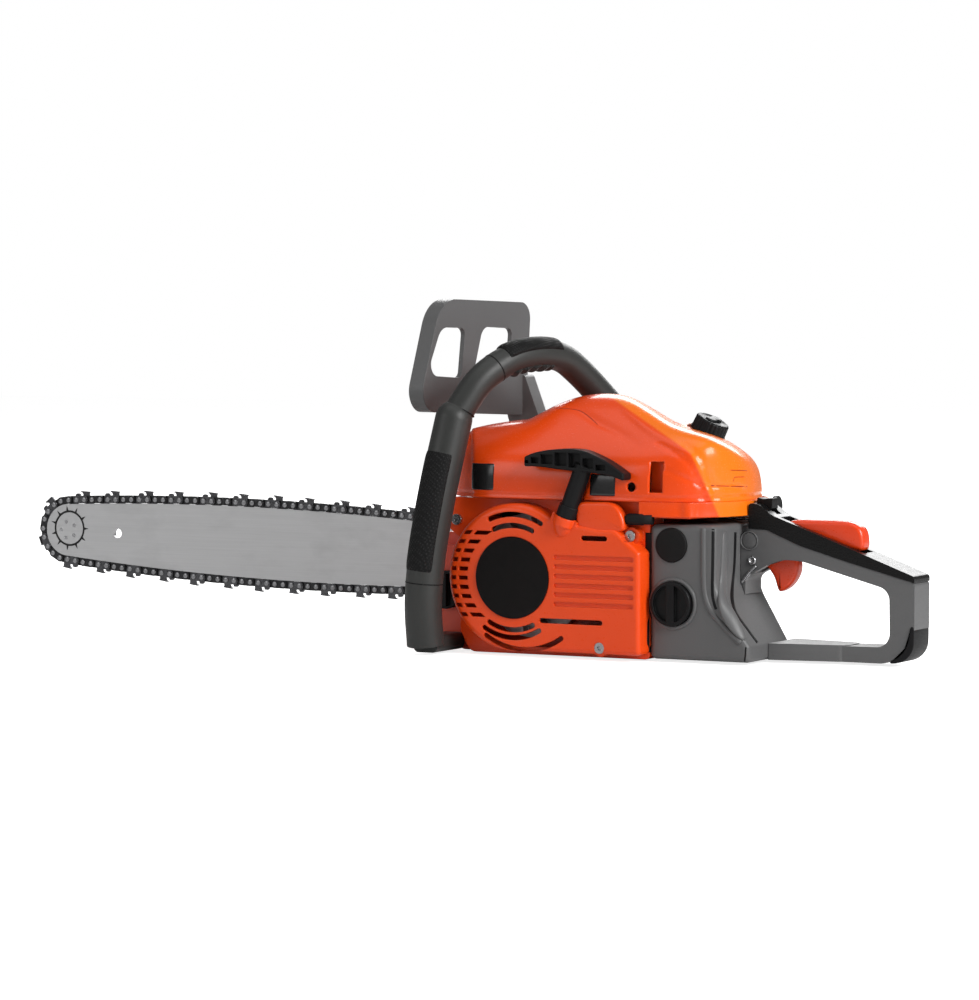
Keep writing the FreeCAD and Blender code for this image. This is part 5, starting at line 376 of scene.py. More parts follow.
nodeFinish = {
    "orangeSide": "starter_cover clutch_cover rope_guide",
    "orangeTop": "top_cover carburettor_box",
    "caseRed": "crankcase_left crankcase_right",
    "castAlloy": "cylinder piston carburettor flywheel oil_pump chain_catcher",
    "mufflerSteel": "muffler",
    "barSteel": "guide_bar",
    "chainSteel": "chain_drive_links chain_tie_links",
    "cutterSteel": "chain_cutters",
    "darkSteel": "clutch_drum clutch_hub clutch_shoes brake_band connecting_rod crankshaft starter_pawls "
                 "recoil_spring nose_sprocket bumper_spikes",
    "brightSteel": "crank_bearings piston_pin bar_nuts bar_studs engine_screws cover_screws tension_screw "
                   "tension_pin throttle_rod nose_rivets",
    "blackPlastic": "ignition_coil starter_pulley starter_grip cover_knob choke_knob stop_switch oil_cap "
                    "fuel_cap",
    "meshDisc": "starter_disc",
    "blackRubber": "plug_boot intake_boot av_dampers",
    "gripBlack": "grip_cover",
    "handleBlack": "front_handle",
    "greyPlastic": "fuel_tank rear_handle hand_guard",
    "controlRed": "throttle_trigger throttle_lockout",
    "filterFelt": "air_filter",
    "ropeWhite": "starter_rope",
    "ceramic": "spark_plug",
}
for finish, names in nodeFinish.items():
    for name in names.split():
        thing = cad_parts[name]
        thing.data.materials.clear()
        thing.data.materials.append(finishes[finish])
plain = set(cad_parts) - set(" ".join(nodeFinish.values()).split())
print("finishes given, nodes without one:", sorted(plain))

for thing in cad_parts.values():
    if "custom_normal" in thing.data.attributes:
        thing.data.attributes.remove(thing.data.attributes["custom_normal"])
    thing.data.polygons.foreach_set("use_smooth", np.ones(len(thing.data.polygons), bool))
    weld = thing.modifiers.new("weld", "WELD")
    weld.merge_threshold = 0.00001
    split = thing.modifiers.new("creases", "EDGE_SPLIT")
    split.split_angle = math.radians(28)
    split.use_edge_sharp = False
print("nodes smoothed")


# Surface helpers: quads between neighbouring rows and columns of a grid of points.
def gridFaces(rows, columns, wrapRows=False, wrapColumns=False):
    index = np.arange(rows * columns).reshape(rows, columns)
    if wrapRows:
        index = np.vstack([index, index[:1]])
    if wrapColumns:
        index = np.hstack([index, index[:, :1]])
    return np.stack([index[:-1, :-1], index[1:, :-1], index[1:, 1:], index[:-1, 1:]], -1).reshape(-1, 4)


# Triangles from a closed ring of points to one tip.
def fanFaces(ring, tip):
    return np.stack([ring, np.roll(ring, -1), np.full(len(ring), tip)], -1)


# A mesh object from points in millimetres and arrays of faces, riding on a body.
def makePiece(name, points, faceSets, finish, body="saw", slot=None, crease=None):
    data = bpy.data.meshes.new(name)
    faces = [face for group in faceSets for face in group.tolist()]
    data.from_pydata((np.asarray(points).reshape(-1, 3) * mm).tolist(), [], faces)
    work = bmesh.new()
    work.from_mesh(data)
    bmesh.ops.remove_doubles(work, verts=work.verts, dist=0.000002)
    bmesh.ops.dissolve_degenerate(work, edges=work.edges, dist=0.000002)
    bmesh.ops.recalc_face_normals(work, faces=work.faces)
    work.to_mesh(data)
    work.free()
    data.polygons.foreach_set("use_smooth", np.ones(len(data.polygons), bool))
    data.materials.append(finishes[finish])
    piece = bpy.data.objects.new(name, data)
    scene.collection.objects.link(piece)
    if crease is not None:
        split = piece.modifiers.new("creases", "EDGE_SPLIT")
        split.split_angle = math.radians(crease)
    if body:
        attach(piece, body)
    return piece


# A grid of points as a closed skin: it wraps over its columns, and a fan to the middle closes each end.
def closedPiece(name, points, finish, body="saw", **more):
    rows, columns = points.shape[:2]
    tips = np.stack([points[0].mean(0), points[-1].mean(0)])
    ring = np.arange(columns)
    faces = [gridFaces(rows, columns, wrapColumns=True), fanFaces(ring, rows * columns),
             fanFaces(ring + (rows - 1) * columns, rows * columns + 1)]
    return makePiece(name, np.vstack([points.reshape(-1, 3), tips]), faces, finish, body, **more)


# A quadratic spline: it runs from mid-side to mid-side and each corner pulls it.
def smoothLine(corners, perSpan=12, closed=False):
    corners = np.array(corners, float)
    if closed:
        mids = corners
        starts, ends = (np.roll(corners, 1, 0) + corners) / 2, (corners + np.roll(corners, -1, 0)) / 2
    else:
        halves = (corners[1:] + corners[:-1]) / 2
        starts, ends, mids = halves[:-1].copy(), halves[1:].copy(), corners[1:-1]
        starts[0], ends[-1] = corners[0], corners[-1]
    t = np.linspace(0, 1, perSpan, endpoint=False)[None, :, None]
    line = (1 - t) ** 2 * starts[:, None] + 2 * t * (1 - t) * mids[:, None] + t ** 2 * ends[:, None]
    line = line.reshape(-1, corners.shape[1])
    return line if closed else np.vstack([line, corners[-1:]])


# The same line in equal steps of its length.
def evenLine(line, count):
    length = np.concatenate([[0], np.cumsum(np.linalg.norm(np.diff(line, axis=0), axis=1))])
    steps = np.linspace(0, length[-1], count)
    return np.stack([np.interp(steps, length, line[:, k]) for k in range(line.shape[1])], 1)


def unit(vectors):
    return vectors / np.linalg.norm(vectors, axis=-1, keepdims=True)


# At each step of a line: its direction, the way out from a point, made square to it, and the third way.
def crossFrames(line, outwardFrom):
    along = unit(np.gradient(line, axis=0))
    out = line - np.asarray(outwardFrom, float)
    out = unit(out - along * (out * along).sum(1, keepdims=True))
    return along, out, np.cross(along, out)


# A profile carried along a line: across and outward are its offsets, one row for each step.
def carriedPiece(name, line, outwardFrom, across, outward, finish, **more):
    along, out, side = crossFrames(line, outwardFrom)
    points = line[:, None] + out[:, None] * outward[..., None] + side[:, None] * across[..., None]
    return closedPiece(name, points, finish, **more)


# How far a closed outline lies from a centre in the direction (u, v), per unit of that direction.
def reach(outline, centre, u, v):
    line = outline - np.asarray(centre, float)
    angle = np.unwrap(np.arctan2(line[:, 1], line[:, 0]))
    radius = np.hypot(line[:, 0], line[:, 1])
    if angle[-1] < angle[0]:
        angle, radius = angle[::-1], radius[::-1]
    turn = np.mod(np.arctan2(v, u) - angle[0], 2 * np.pi) + angle[0]
    return np.interp(turn, angle, radius, period=2 * np.pi) / np.maximum(np.hypot(u, v), 1e-9)


# The least distance in a plane from points (a, b) to a line of corners, and how far along it that is.
def distanceTo(line, a, b):
    line = np.asarray(line, float)
    best = np.full(a.shape, 1e9)
    place = np.zeros(a.shape)
    total = np.linalg.norm(np.diff(line, axis=0), axis=1).sum()
    gone = 0.0
    for (ax, bx), (ay, by) in zip(line[:-1], line[1:]):
        span = math.hypot(ay - ax, by - bx)
        share = np.clip(((a - ax) * (ay - ax) + (b - bx) * (by - bx)) / span ** 2, 0, 1)
        away = np.hypot(a - ax - share * (ay - ax), b - bx - share * (by - bx))
        place = np.where(away < best, (gone + share * span) / total, place)
        best = np.minimum(best, away)
        gone += span
    return best, place


# A bell curve of a distance, and a soft step up at a distance of 0, each from its height and width.
def bell(distance, height, width):
    return height * np.exp(-(distance / width) ** 2)


def softStep(distance, height, width):
    return height / (1 + np.exp(-distance / width))


# Applies a piece's modifiers to its mesh.
def settle(piece):
    seen = piece.evaluated_get(bpy.context.evaluated_depsgraph_get())
    data = bpy.data.meshes.new_from_object(seen)
    piece.modifiers.clear()
    piece.data = data


# Takes boxes, each two corners, and rods, each a base, a direction, a radius and a length, out of a piece.
def cutAway(piece, boxes, rods):
    cutters = bpy.data.meshes.new("cutters")
    work = bmesh.new()
    for low, high in boxes:
        low, high = np.array(low, float) * mm, np.array(high, float) * mm
        made = bmesh.ops.create_cube(work, size=1.0)
        for vert in made["verts"]:
            vert.co = (low + high) / 2 + np.array(vert.co) * (high - low)
    for base, way, radius, length in rods:
        made = bmesh.ops.create_cone(work, cap_ends=True, segments=64, radius1=radius * mm,
                                     radius2=radius * mm, depth=length * mm)
        place = Vector((base + way * length / 2) * mm)
        turn = Vector(way).to_track_quat("Z", "Y").to_matrix()
        for vert in made["verts"]:
            vert.co = place + turn @ vert.co
    work.to_mesh(cutters)
    work.free()
    tool = bpy.data.objects.new("cutters", cutters)
    scene.collection.objects.link(tool)
    step = piece.modifiers.new("openings", "BOOLEAN")
    step.operation, step.solver, step.object = "DIFFERENCE", "EXACT", tool
    step.use_self = True
    settle(piece)
    bpy.data.objects.remove(tool)


# Where a point of the body falls on the side plane.
def onSidePlane(points):
    depth = sidePlane["y"] - points[..., 1]
    return points[..., 0] - sidePlane["back"] * depth, points[..., 2] + sidePlane["up"] * depth


# The upward direction that leans back by an angle.
def leaned(degrees):
    return np.array([-math.sin(math.radians(degrees)), 0, math.cos(math.radians(degrees))])


knobSeat, knobWay = np.array([-129.0, 0.0, 177.0]), leaned(27)
ropeEye, ropeWay = np.array([-47.0, 86.0, 112.5]), leaned(21.2)

# Ribs, grooves and steps are a height or depth and a width. Round openings are a radius and a length.
coverLook = {
    "centre": (-43.0, 0.0, 125.6), "power": 22.0, "wall": 2.6, "grid": (420, 120), "crowding": 0.15,
    "easing": 1.1, "perSpan": 14, "nearShift": 30.0, "farShift": 14.0, "farDrop": 12.0, "nearWidth": 79.0,
    "farWidth": 64.0,
    "side": [(104, 112), (96, 140), (90, 165), (86, 177), (72, 180.5), (45, 184.5), (29, 186), (17, 192),
             (-1, 201), (-20, 206.5), (-40, 208.5), (-60, 206.5), (-82, 196), (-100, 186), (-114, 182),
             (-132, 178), (-149, 171.5), (-165, 161), (-175, 149), (-181, 133), (-186, 112)],
    "end": [(-80, 112), (-70, 158), (-52, 186), (-30, 206), (0, 218), (16, 214), (32, 203), (56, 181),
            (76, 160), (86, 142), (94, 112)],
    "plan": [(87, -49), (87, 44), (50, 78.5), (0, 80.5), (-60, 80.5), (-128, 80.5), (-160, 66), (-176, 30),
             (-176, -6), (-157, -48), (-120, -65.5), (40, -65.5)],
    "nearFrom": 8.0, "nearFade": 2.0,
    "ridge": [(-87.3, 205.6), (-108.4, 184.8), (-150.9, 164.5), (-162, 150), (-168.3, 131.4)],
    "ridgeRib": (0.9, 3.2), "ridgeGroove": (1.5, 1.6), "grooveAway": 5.0, "grooveTop": 172.0,
    "styleLine": [(-129.3, 150.8), (-160.9, 139.4), (-170.7, 138.8), (-195.9, 139.0)],
    "styleGroove": (0.9, 1.3),
    "upperCrease": [(-30, 206), (-49.4, 200.4), (-68.9, 188.1), (-93.5, 179.0), (-113.6, 166.1)],
    "creaseGroove": (0.8, 4.0), "panelEdge": 44.0, "panelTop": 186.0, "panelDrop": (2.4, 0.5),
    "badgeFrame": (-186.1, 154.3, -202.3, 139.2), "badgeRise": (0.5, 0.35),
    "partingUp": 3.2, "partingGroove": (0.8, 0.9),
    "frontSlot": ((67.8, -28, 131), (95, 28, 162)), "sideSlot": ((-127, 50, 133), (-116, 95, 157)),
    "knobWell": (19.3, 30.0), "screwHole": (4.3, 40.0), "screwDepth": 24.0, "ropePassage": (9.2, 92.0),
    "sidePort": (-101.0, 47.0, 137.0), "sidePortSize": (3.8, 45.0),
}


# The near side's ribs, grooves and steps over points (a, b) of the side plane: bell curves and soft steps of
# the distance from their lines.
def coverRelief(look, a, b):
    away, place = distanceTo(smoothLine(look["ridge"], 8), a, b)
    ridge = bell(away, *look["ridgeRib"])
    ridge -= bell(away - look["grooveAway"], *look["ridgeGroove"]) * (b < look["grooveTop"])
    height = ridge * np.clip(place * 4, 0, 1)
    away, place = distanceTo(look["styleLine"], a, b)
    height -= bell(away, *look["styleGroove"])
    away, place = distanceTo(smoothLine(look["upperCrease"], 8), a, b)
    height -= bell(away, *look["creaseGroove"]) * np.sin(np.pi * np.clip(place, 0, 1))
    height -= softStep(a - look["panelEdge"], *look["panelDrop"]) * (b < look["panelTop"])
    x0, z0, x1, z1 = look["badgeFrame"]
    inside = np.minimum(np.minimum(x0 - a, a - x1), np.minimum(z0 - b, b - z1))
    return height + softStep(inside, *look["badgeRise"])


# Each point lies on a ray from the middle of the rim, where the least of three outlines' reaches ends it: the
# sheared side outline, the end outline and the plan outline. The power rounds one outline into the next. The
# relief then shifts a point along its ray.
def topCoverSkin(look):
    cx, cy, cz = look["centre"]
    around, upward = look["grid"]
    step = np.linspace(0, 2 * np.pi, around, endpoint=False)
    azimuth = step - look["crowding"] * np.sin(2 * (step - np.pi / 2))
    rise = (np.linspace(0, 1, upward) ** look["easing"]) * np.pi / 2
    rise[-1] = np.pi / 2 - 1e-4
    az, el = np.meshgrid(azimuth, rise, indexing="ij")
    dx, dy, dz = np.cos(el) * np.cos(az), np.cos(el) * np.sin(az), np.sin(el)
    near = np.maximum(dy, 0) / look["nearWidth"]
    far = np.maximum(-dy, 0) / look["farWidth"]
    sx, sz = dx + look["nearShift"] * near - look["farShift"] * far, dz + look["farDrop"] * far
    side = reach(smoothLine(look["side"], look["perSpan"]), (cx, cz), sx, sz)
    end = reach(smoothLine(look["end"], look["perSpan"]), (cy, cz), dy, dz)
    plan = reach(smoothLine(look["plan"], look["perSpan"], closed=True), (cx, cy), dx, dy)
    power = look["power"]
    length = (side ** -power + end ** -power + plan ** -power) ** (-1 / power)
    ways = np.stack([dx, dy, dz], -1)
    points = np.array(look["centre"]) + length[..., None] * ways
    onNear = softStep(points[..., 1] - look["nearFrom"], 1.0, look["nearFade"])
    shift = onNear * coverRelief(look, *onSidePlane(points))
    shift -= bell(points[..., 2] - cz - look["partingUp"], *look["partingGroove"])
    return points + ways * shift[..., None]


# The skin and a hidden inner face a wall's thickness nearer to the middle, which has a third of the rays
# round the rim and a quarter of the steps up, joined along the rim, with openings cut through both.
def makeTopCover(look):
    skin = topCoverSkin(look)
    rows, columns = skin.shape[:2]
    outer = skin.reshape(-1, 3)
    middle = np.array(look["centre"], float)
    reachOut = np.linalg.norm(outer - middle, axis=1, keepdims=True)
    inner = (middle + (outer - middle) * (1 - look["wall"] / reachOut)).reshape(rows, columns, 3)
    inner[:, 0, 2] = middle[2]
    aroundStep, upStep = 3, 4
    inner = inner[::aroundStep, np.append(np.arange(0, columns - 1, upStep), columns - 1)]
    innerRows, innerColumns = inner.shape[:2]
    inner = inner.reshape(-1, 3)
    count, innerCount = rows * columns, innerRows * innerColumns
    lastRing = np.arange(rows) * columns + columns - 1
    innerLast = np.arange(innerRows) * innerColumns + innerColumns - 1
    tips = np.stack([outer[lastRing].mean(0), inner[innerLast].mean(0)])
    rim = np.arange(0, rows, aroundStep)
    innerRim = count + np.arange(innerRows) * innerColumns
    rimFaces = np.stack([(rim + k) % rows * columns for k in range(aroundStep + 1)]
                        + [np.roll(innerRim, -1), innerRim], -1)
    faces = [gridFaces(rows, columns, wrapRows=True),
             gridFaces(innerRows, innerColumns, wrapRows=True)[:, ::-1] + count, rimFaces,
             fanFaces(lastRing, count + innerCount),
             fanFaces(innerLast + count, count + innerCount + 1)[:, ::-1]]
    cover = makePiece("topCoverShell", np.vstack([outer, inner, tips]), faces, "orangeTop", slot="orange_top")
    cutAway(cover, [look["frontSlot"], look["sideSlot"]],
            [(knobSeat, knobWay, *look["knobWell"]),
             (knobSeat - knobWay * look["screwDepth"], knobWay, *look["screwHole"]),
             (ropeEye, ropeWay, *look["ropePassage"]),
             (np.array(look["sidePort"]), np.array([0, 1.0, 0]), *look["sidePortSize"])])
    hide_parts("top_cover")
    return cover


cover = makeTopCover(coverLook)
print("top cover made:", len(cover.data.polygons), "faces")


# A profile of radius and height turned about an axis; the ripple adds to the radius. A hollow one's profile
# is a closed loop beside the axis.
def turnedPiece(name, profile, base, way, finish, count=72, ripple=None, hollow=False, **more):
    profile, base, way = np.array(profile, float), np.array(base, float), unit(np.array(way, float))
    first = unit(np.cross(way, [0, 1, 0] if abs(way[1]) < 0.9 else [1, 0, 0]))
    second = np.cross(way, first)
    angle = np.linspace(0, 2 * np.pi, count, endpoint=False)
    radius = profile[:, 0][:, None] * np.ones(count)
    if ripple is not None:
        radius = radius + ripple(profile[:, 1][:, None], angle[None]) * (radius > 0.01)
    circle = np.cos(angle)[None, :, None] * first + np.sin(angle)[None, :, None] * second
    points = base + profile[:, 1][:, None, None] * way + radius[..., None] * circle
    if hollow:
        faces = [gridFaces(len(profile), count, wrapRows=True, wrapColumns=True)]
        return makePiece(name, points, faces, finish, **more)
    return closedPiece(name, points, finish, **more)


# A plate of one outline in the side plane, between two depths along Y. Its near edge, and the far edge too
# when both is set, is rounded: ring by ring the outline is drawn in along its normals by a quarter circle.
def makePlate(name, outline, back, front, rounding, finish, smooth=True, both=False, steps=6, **more):
    line = smoothLine(outline, 8, closed=True) if smooth else np.array(outline, float)
    turn = np.roll(line, -1, 0) - np.roll(line, 1, 0)
    area = (line[:, 0] * np.roll(line[:, 1], -1) - line[:, 1] * np.roll(line[:, 0], -1)).sum()
    inward = unit(np.stack([-turn[:, 1], turn[:, 0]], 1)) * np.sign(area)
    sweep = np.linspace(0, np.pi / 2, steps)
    quarter = np.stack([rounding * (1 - np.sin(sweep)), rounding * (1 - np.cos(sweep))], 1)
    near = quarter[::-1] * [1, -1] + [0, front]
    far = quarter + [0, back] if both else np.array([[0.0, back]])
    rings = np.vstack([far, near])
    points = np.stack([np.insert(line + inward * draw, 1, depth, axis=1) for draw, depth in rings])
    return closedPiece(name, points, finish, **more)


handleLook = {
    "route": [(71.0, 102.0, 8.0), (71.0, 107.0, 40.0), (68.0, 106.0, 78.0), (60.5, 101.0, 130.0),
              (51.8, 90.0, 188.0), (37.0, 74.0, 220.0), (23.0, 52.0, 236.0), (12.0, 24.0, 240.5),
              (4.5, -6.0, 237.5), (0.0, -38.0, 220.0), (-10.0, -64.0, 196.0), (-30.0, -82.0, 167.0)],
    "middle": (30.0, 0.0, 115.0), "tube": 12.0, "leg": 15.0, "legEnd": 0.42, "edgeSink": 0.4,
    "patchSink": 2.2, "seams": (0.118, 0.452, 0.56),
}
handleLine = evenLine(smoothLine(handleLook["route"], 24), 900)
lastStep = len(handleLine) - 1


# A patch on the handle's tube: its outer arc stands proud by a height that fades at the ends and at both
# sides, and its inner arc lies inside the tube, so that the skin closes.
def handlePatch(name, span, angles, tube, height, finish, count=120, arc=28, fade=0.08, sideFade=0.16):
    line = handleLine[(np.linspace(*span, count) * lastStep).astype(int)]
    share = np.linspace(0, 1, count)[:, None]
    angle = np.linspace(*angles, arc)[None]
    across = np.linspace(-1, 1, arc)[None]
    ends = np.clip(np.minimum(share, 1 - share) / fade, 0, 1)
    sides = np.clip((1 - np.abs(across)) / sideFade, 0, 1)
    lift = np.sqrt(np.clip(ends * (2 - ends), 0, 1)) * np.sqrt(np.clip(sides * (2 - sides), 0, 1))
    proud = height(share, across) if callable(height) else height
    sink = handleLook["edgeSink"]
    outer = tube - sink + (proud + sink) * lift
    inner = np.full_like(outer, tube - handleLook["patchSink"])
    radius = np.concatenate([outer, inner[:, ::-1]], 1)
    angle = np.concatenate([angle, angle[:, ::-1]], 1) * np.ones((count, 1))
    across, outward = radius * np.sin(angle), radius * np.cos(angle)
    return carriedPiece(name, line, handleLook["middle"], across, outward, finish, slot="handle_black")


# Four and a half ridges along the handle, a squared sine wave, lower towards the sides.
def fingerHeight(share, across):
    return 0.5 + 2.2 * np.sin(share * 4.5 * np.pi) ** 2 * (1 - 0.6 * across ** 2)


handlePatch("handleTopPad", (0.585, 0.712), (-1.05, 1.05), handleLook["tube"], 2.0, "padBlack")
handlePatch("handleLegPad", (0.14, 0.365), (-2.0, 1.2), handleLook["leg"], 0.8, "padBlack")
handlePatch("fingerRidges", (0.585, 0.70), (2.2, 4.08), handleLook["tube"], fingerHeight, "handleBlack",
            count=200)
for place in handleLook["seams"]:
    at = int(place * lastStep)
    radius = handleLook["leg"] if place < handleLook["legEnd"] else handleLook["tube"]
    turnedPiece("handleSeam" + str(at),
                [(radius - 1, -0.55), (radius + 0.25, -0.4), (radius + 0.25, 0.4), (radius - 1, 0.55)],
                handleLine[at], handleLine[at + 3] - handleLine[at - 3], "padBlack", slot="handle_black")
print("front handle's pads and ridges made")

# The cover's knob: a collar moulded on the cover, a body with 24 flutes and a bar across it.
knobLook = {
    "collar": [(16.0, -8.0), (16.0, -1.6), (17.4, -0.5), (19.2, -0.1), (21.0, -0.9), (22.6, -3.0),
               (23.6, -9.0)],
    "body": [(0.2, 0.4), (14.6, 0.4), (15.0, 1.2), (14.2, 3.0), (13.9, 10.8), (13.2, 12.0), (11.4, 12.6),
             (10.6, 12.1), (0.2, 11.9)],
    "bar": [(0.1, 11.6), (3.4, 11.7), (3.4, 13.2), (2.6, 13.7), (0.1, 13.8)],
    "flutes": 24, "fluteDepth": 0.75, "fluteFrom": 2.4, "fluteTo": 11.6, "barReach": 7.0,
}


def knobFlutes(height, angle):
    wave = (0.5 - 0.5 * np.cos(angle * knobLook["flutes"])) ** 2
    return -knobLook["fluteDepth"] * wave * (height > knobLook["fluteFrom"]) * (height < knobLook["fluteTo"])


def knobBarReach(height, angle):
    return knobLook["barReach"] * np.abs(np.sin(angle)) ** 3


turnedPiece("knobCollar", knobLook["collar"], knobSeat, knobWay, "orangeTop", slot="orange_top")
knob = turnedPiece("knobBody", knobLook["body"], knobSeat, knobWay, "blackPlastic", count=192,
                   ripple=knobFlutes, body="knob", slot="black_plastic")
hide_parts("cover_knob")
turnedPiece("knobBar", knobLook["bar"], knobSeat, knobWay, "blackPlastic", count=24, ripple=knobBarReach,
            body="knob", slot="black_plastic")
print("cover knob made")

cameraLook = {"place": (-1.5615, 3.0257, 0.2990), "direction": (0.4735, -0.8793, -0.0523), "lens": 151.2}


# One search tree over several pieces with their modifiers.
def searchTree(pieces):
    seenBy = bpy.context.evaluated_depsgraph_get()
    points, faces = [], []
    for piece in pieces:
        seen = piece.evaluated_get(seenBy)
        mesh = seen.to_mesh()
        start = len(points)
        points += [tuple(v.co) for v in mesh.vertices]
        faces += [tuple(start + k for k in p.vertices) for p in mesh.polygons]
        seen.to_mesh_clear()
    return BVHTree.FromPolygons(points, faces)


def treeOf(*names):
    return searchTree([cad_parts[name] for name in names])


# Where lines of sight through points (a, b) of the side plane first meet a tree, and the normals there.
def seenOn(tree, line):
    place = np.array(cameraLook["place"])
    hits, normals = [], []
    for a, b in line:
        way = np.array([a, sidePlane["y"], b]) * mm - place
        hit, normal = tree.ray_cast(Vector(place), Vector(way).normalized())[:2]
        if hit is None:
            raise SystemExit("a line of sight misses the body at " + str((a, b)))
        hits.append(np.array(hit) / mm)
        normals.append(np.array(normal))
    return np.array(hits), np.array(normals)


# A rounded panel laid over the body: a flat grid, its corners drawn in by a power curve, is cast along Y on
# to a tree, and then given a thickness.
def layPanel(name, tree, centre, size, corner, thickness, finish, grid=(41, 33), start=200.0, sink=0.6,
             **more):
    columns, rows = grid
    acrossSteps, upSteps = np.linspace(-1, 1, columns)[:, None], np.linspace(-1, 1, rows)[None]
    u, v = acrossSteps + 0 * upSteps, upSteps + 0 * acrossSteps
    rim = np.maximum(np.abs(u), np.abs(v))
    power = 2 / corner
    norm = np.maximum((np.abs(u) ** power + np.abs(v) ** power) ** (1 / power), 1e-9)
    x = centre[0] + u * rim / norm * size[0] / 2
    z = centre[1] + v * rim / norm * size[1] / 2
    inward = Vector((0, -1, 0))
    hits = [tree.ray_cast(Vector((px, start, pz)) * mm, inward)[0] for px, pz in zip(x.flat, z.flat)]
    lay = np.array(hits).reshape(columns, rows, 3) / mm
    outer, inner = lay.copy(), lay.copy()
    outer[..., 1] += thickness * np.where(rim > 0.999, 0.5, 1.0)
    inner[..., 1] -= sink
    count = columns * rows
    index = np.arange(count).reshape(columns, rows)
    edge = np.concatenate([index[:-1, 0], index[-1, :-1], index[:0:-1, -1], index[0, :0:-1]])
    walls = np.stack([edge, np.roll(edge, -1), np.roll(edge, -1) + count, edge + count], -1)
    flat = gridFaces(columns, rows)
    makePiece(name, np.concatenate([outer, inner]), [flat, flat[:, ::-1] + count, walls], finish, **more)


# A low rib, seam or wire laid on the body along points of the side plane: its cross section is an arch on a
# foot sunk into the body. Over the taper at both ends its width shrinks to the tip's share, its height to 0.
def layStrip(name, tree, line, width, height, finish, steps=60, sink=0.5, taper=0.0, tip=0.15, arch=9,
             **more):
    corners = smoothLine(line, 16) if len(line) > 2 else np.array(line, float)
    path, normal = seenOn(tree, evenLine(corners, steps))
    for turn in range(6):
        normal[1:-1] = (normal[:-2] + normal[1:-1] + normal[2:]) / 3
        path[1:-1] = (path[:-2] + 2 * path[1:-1] + path[2:]) / 4
    normal = unit(normal)
    side = unit(np.cross(normal, unit(np.gradient(path, axis=0))))
    share = np.linspace(0, 1, steps)[:, None, None]
    ends = np.clip(np.minimum(share, 1 - share) / taper, 0, 1) if taper else np.ones_like(share)
    ends = np.sqrt(ends * (2 - ends))
    angle = np.linspace(np.pi, 0, arch)
    across = np.append(np.cos(angle), [1.0, -1.0])[None, :, None] * width / 2 * (tip + (1 - tip) * ends)
    foot = np.append(np.zeros(arch), [sink, sink])[None, :, None]
    up = np.append(np.sin(angle) * height, [0.0, 0.0])[None, :, None] * ends - foot
    closedPiece(name, path[:, None] + side[:, None] * across + normal[:, None] * up, finish, **more)


# Seams of the top cover, strips of dark orange whose darkness is painted shade in the seams: a line and a
# width.
coverTree = searchTree([cover])
coverLines = {
    "crestSeam": ([(-30.5, 197.6), (-49.2, 198.0), (-60.4, 193.6), (-70.3, 184.9)], 0.7),
    "rearSeam": ([(-160.5, 139.6), (-187.3, 139.4), (-200.0, 139.6)], 0.8),
    "filterSeam": ([(-184.8, 152.0), (-199.5, 151.9)], 0.6),
    "filterStep": ([(-187.7, 142.9), (-187.7, 146.6), (-191.0, 146.8), (-197.3, 147.0)], 0.6),
}
for name, (line, width) in coverLines.items():
    layStrip(name, coverTree, line, width, 0.08, "orangeSeamShade", taper=0.15, slot="orange_top")

badges = {"frontBadge": ((32.6, 142.2), (21.8, 21.0)), "rearBadge": ((-76.1, 137.9), (22.0, 17.0))}
for name, (centre, size) in badges.items():
    layPanel(name, coverTree, centre, size, 0.12, 0.45, "badge", slot="black_plastic")
print("badges laid on")

# The orange rim of the carburettor box runs along the rear of the top cover's plan, from the starter cover
# round to the grip. Its section is the offsets along Z, and the last two points lie inside by the sink.
rimLook = {
    "middle": (-43.0, 0.0, 119.6), "front": -108.0, "planSteps": 1400, "steps": 160,
    "section": [-6.0, 2.8, 4.6, 5.6, 5.6, -6.0], "probe": 12.0, "drops": (-4.5, -1.5, 1.5), "least": 0.4,
    "most": 3.2, "clear": 0.35, "lip": 0.4, "sink": 3.0,
}


# How far out the box's solid reaches from a line, found by rays from outside, smoothed over seven steps.
def boxReach(line, look):
    tree = treeOf("carburettor_box")
    found = np.full(len(line), look["least"])
    for row, (spot, way) in enumerate(zip(line, crossFrames(line, look["middle"])[1])):
        for drop in look["drops"]:
            start = (spot + way * look["probe"] + (0.0, 0.0, drop)) * mm
            hit, _, _, gap = tree.ray_cast(Vector(start), Vector(-way))
            if hit is not None:
                found[row] = max(found[row], min(look["probe"] - gap / mm, look["most"]))
    found = np.array([found[max(row - 3, 0):row + 4].max() for row in range(len(line))])
    return np.convolve(np.pad(found, 3, mode="edge"), np.ones(7) / 7, mode="valid")


def makeRim(look):
    plan = evenLine(smoothLine(coverLook["plan"], coverLook["perSpan"], closed=True), look["planSteps"])
    rear = plan[(plan[:, 0] < look["front"]) & (plan[:, 1] > 0)]
    turn = np.arctan2(rear[:, 1], rear[:, 0] - look["middle"][0])
    line = evenLine(rear[np.argsort(turn)], look["steps"])
    line = np.column_stack([line, np.full(look["steps"], look["middle"][2])])
    proud = boxReach(line, look) + look["clear"]
    lip, inside = proud + look["lip"], np.full(look["steps"], -look["sink"])
    outward = np.stack([proud, proud, lip, lip, inside, inside], 1)
    across = np.array(look["section"])[None] * np.ones((look["steps"], 1))
    carriedPiece("boxRim", line, look["middle"], across, outward, "orangeTop", slot="orange_top", crease=35)


makeRim(rimLook)
print("carburettor box rim made")
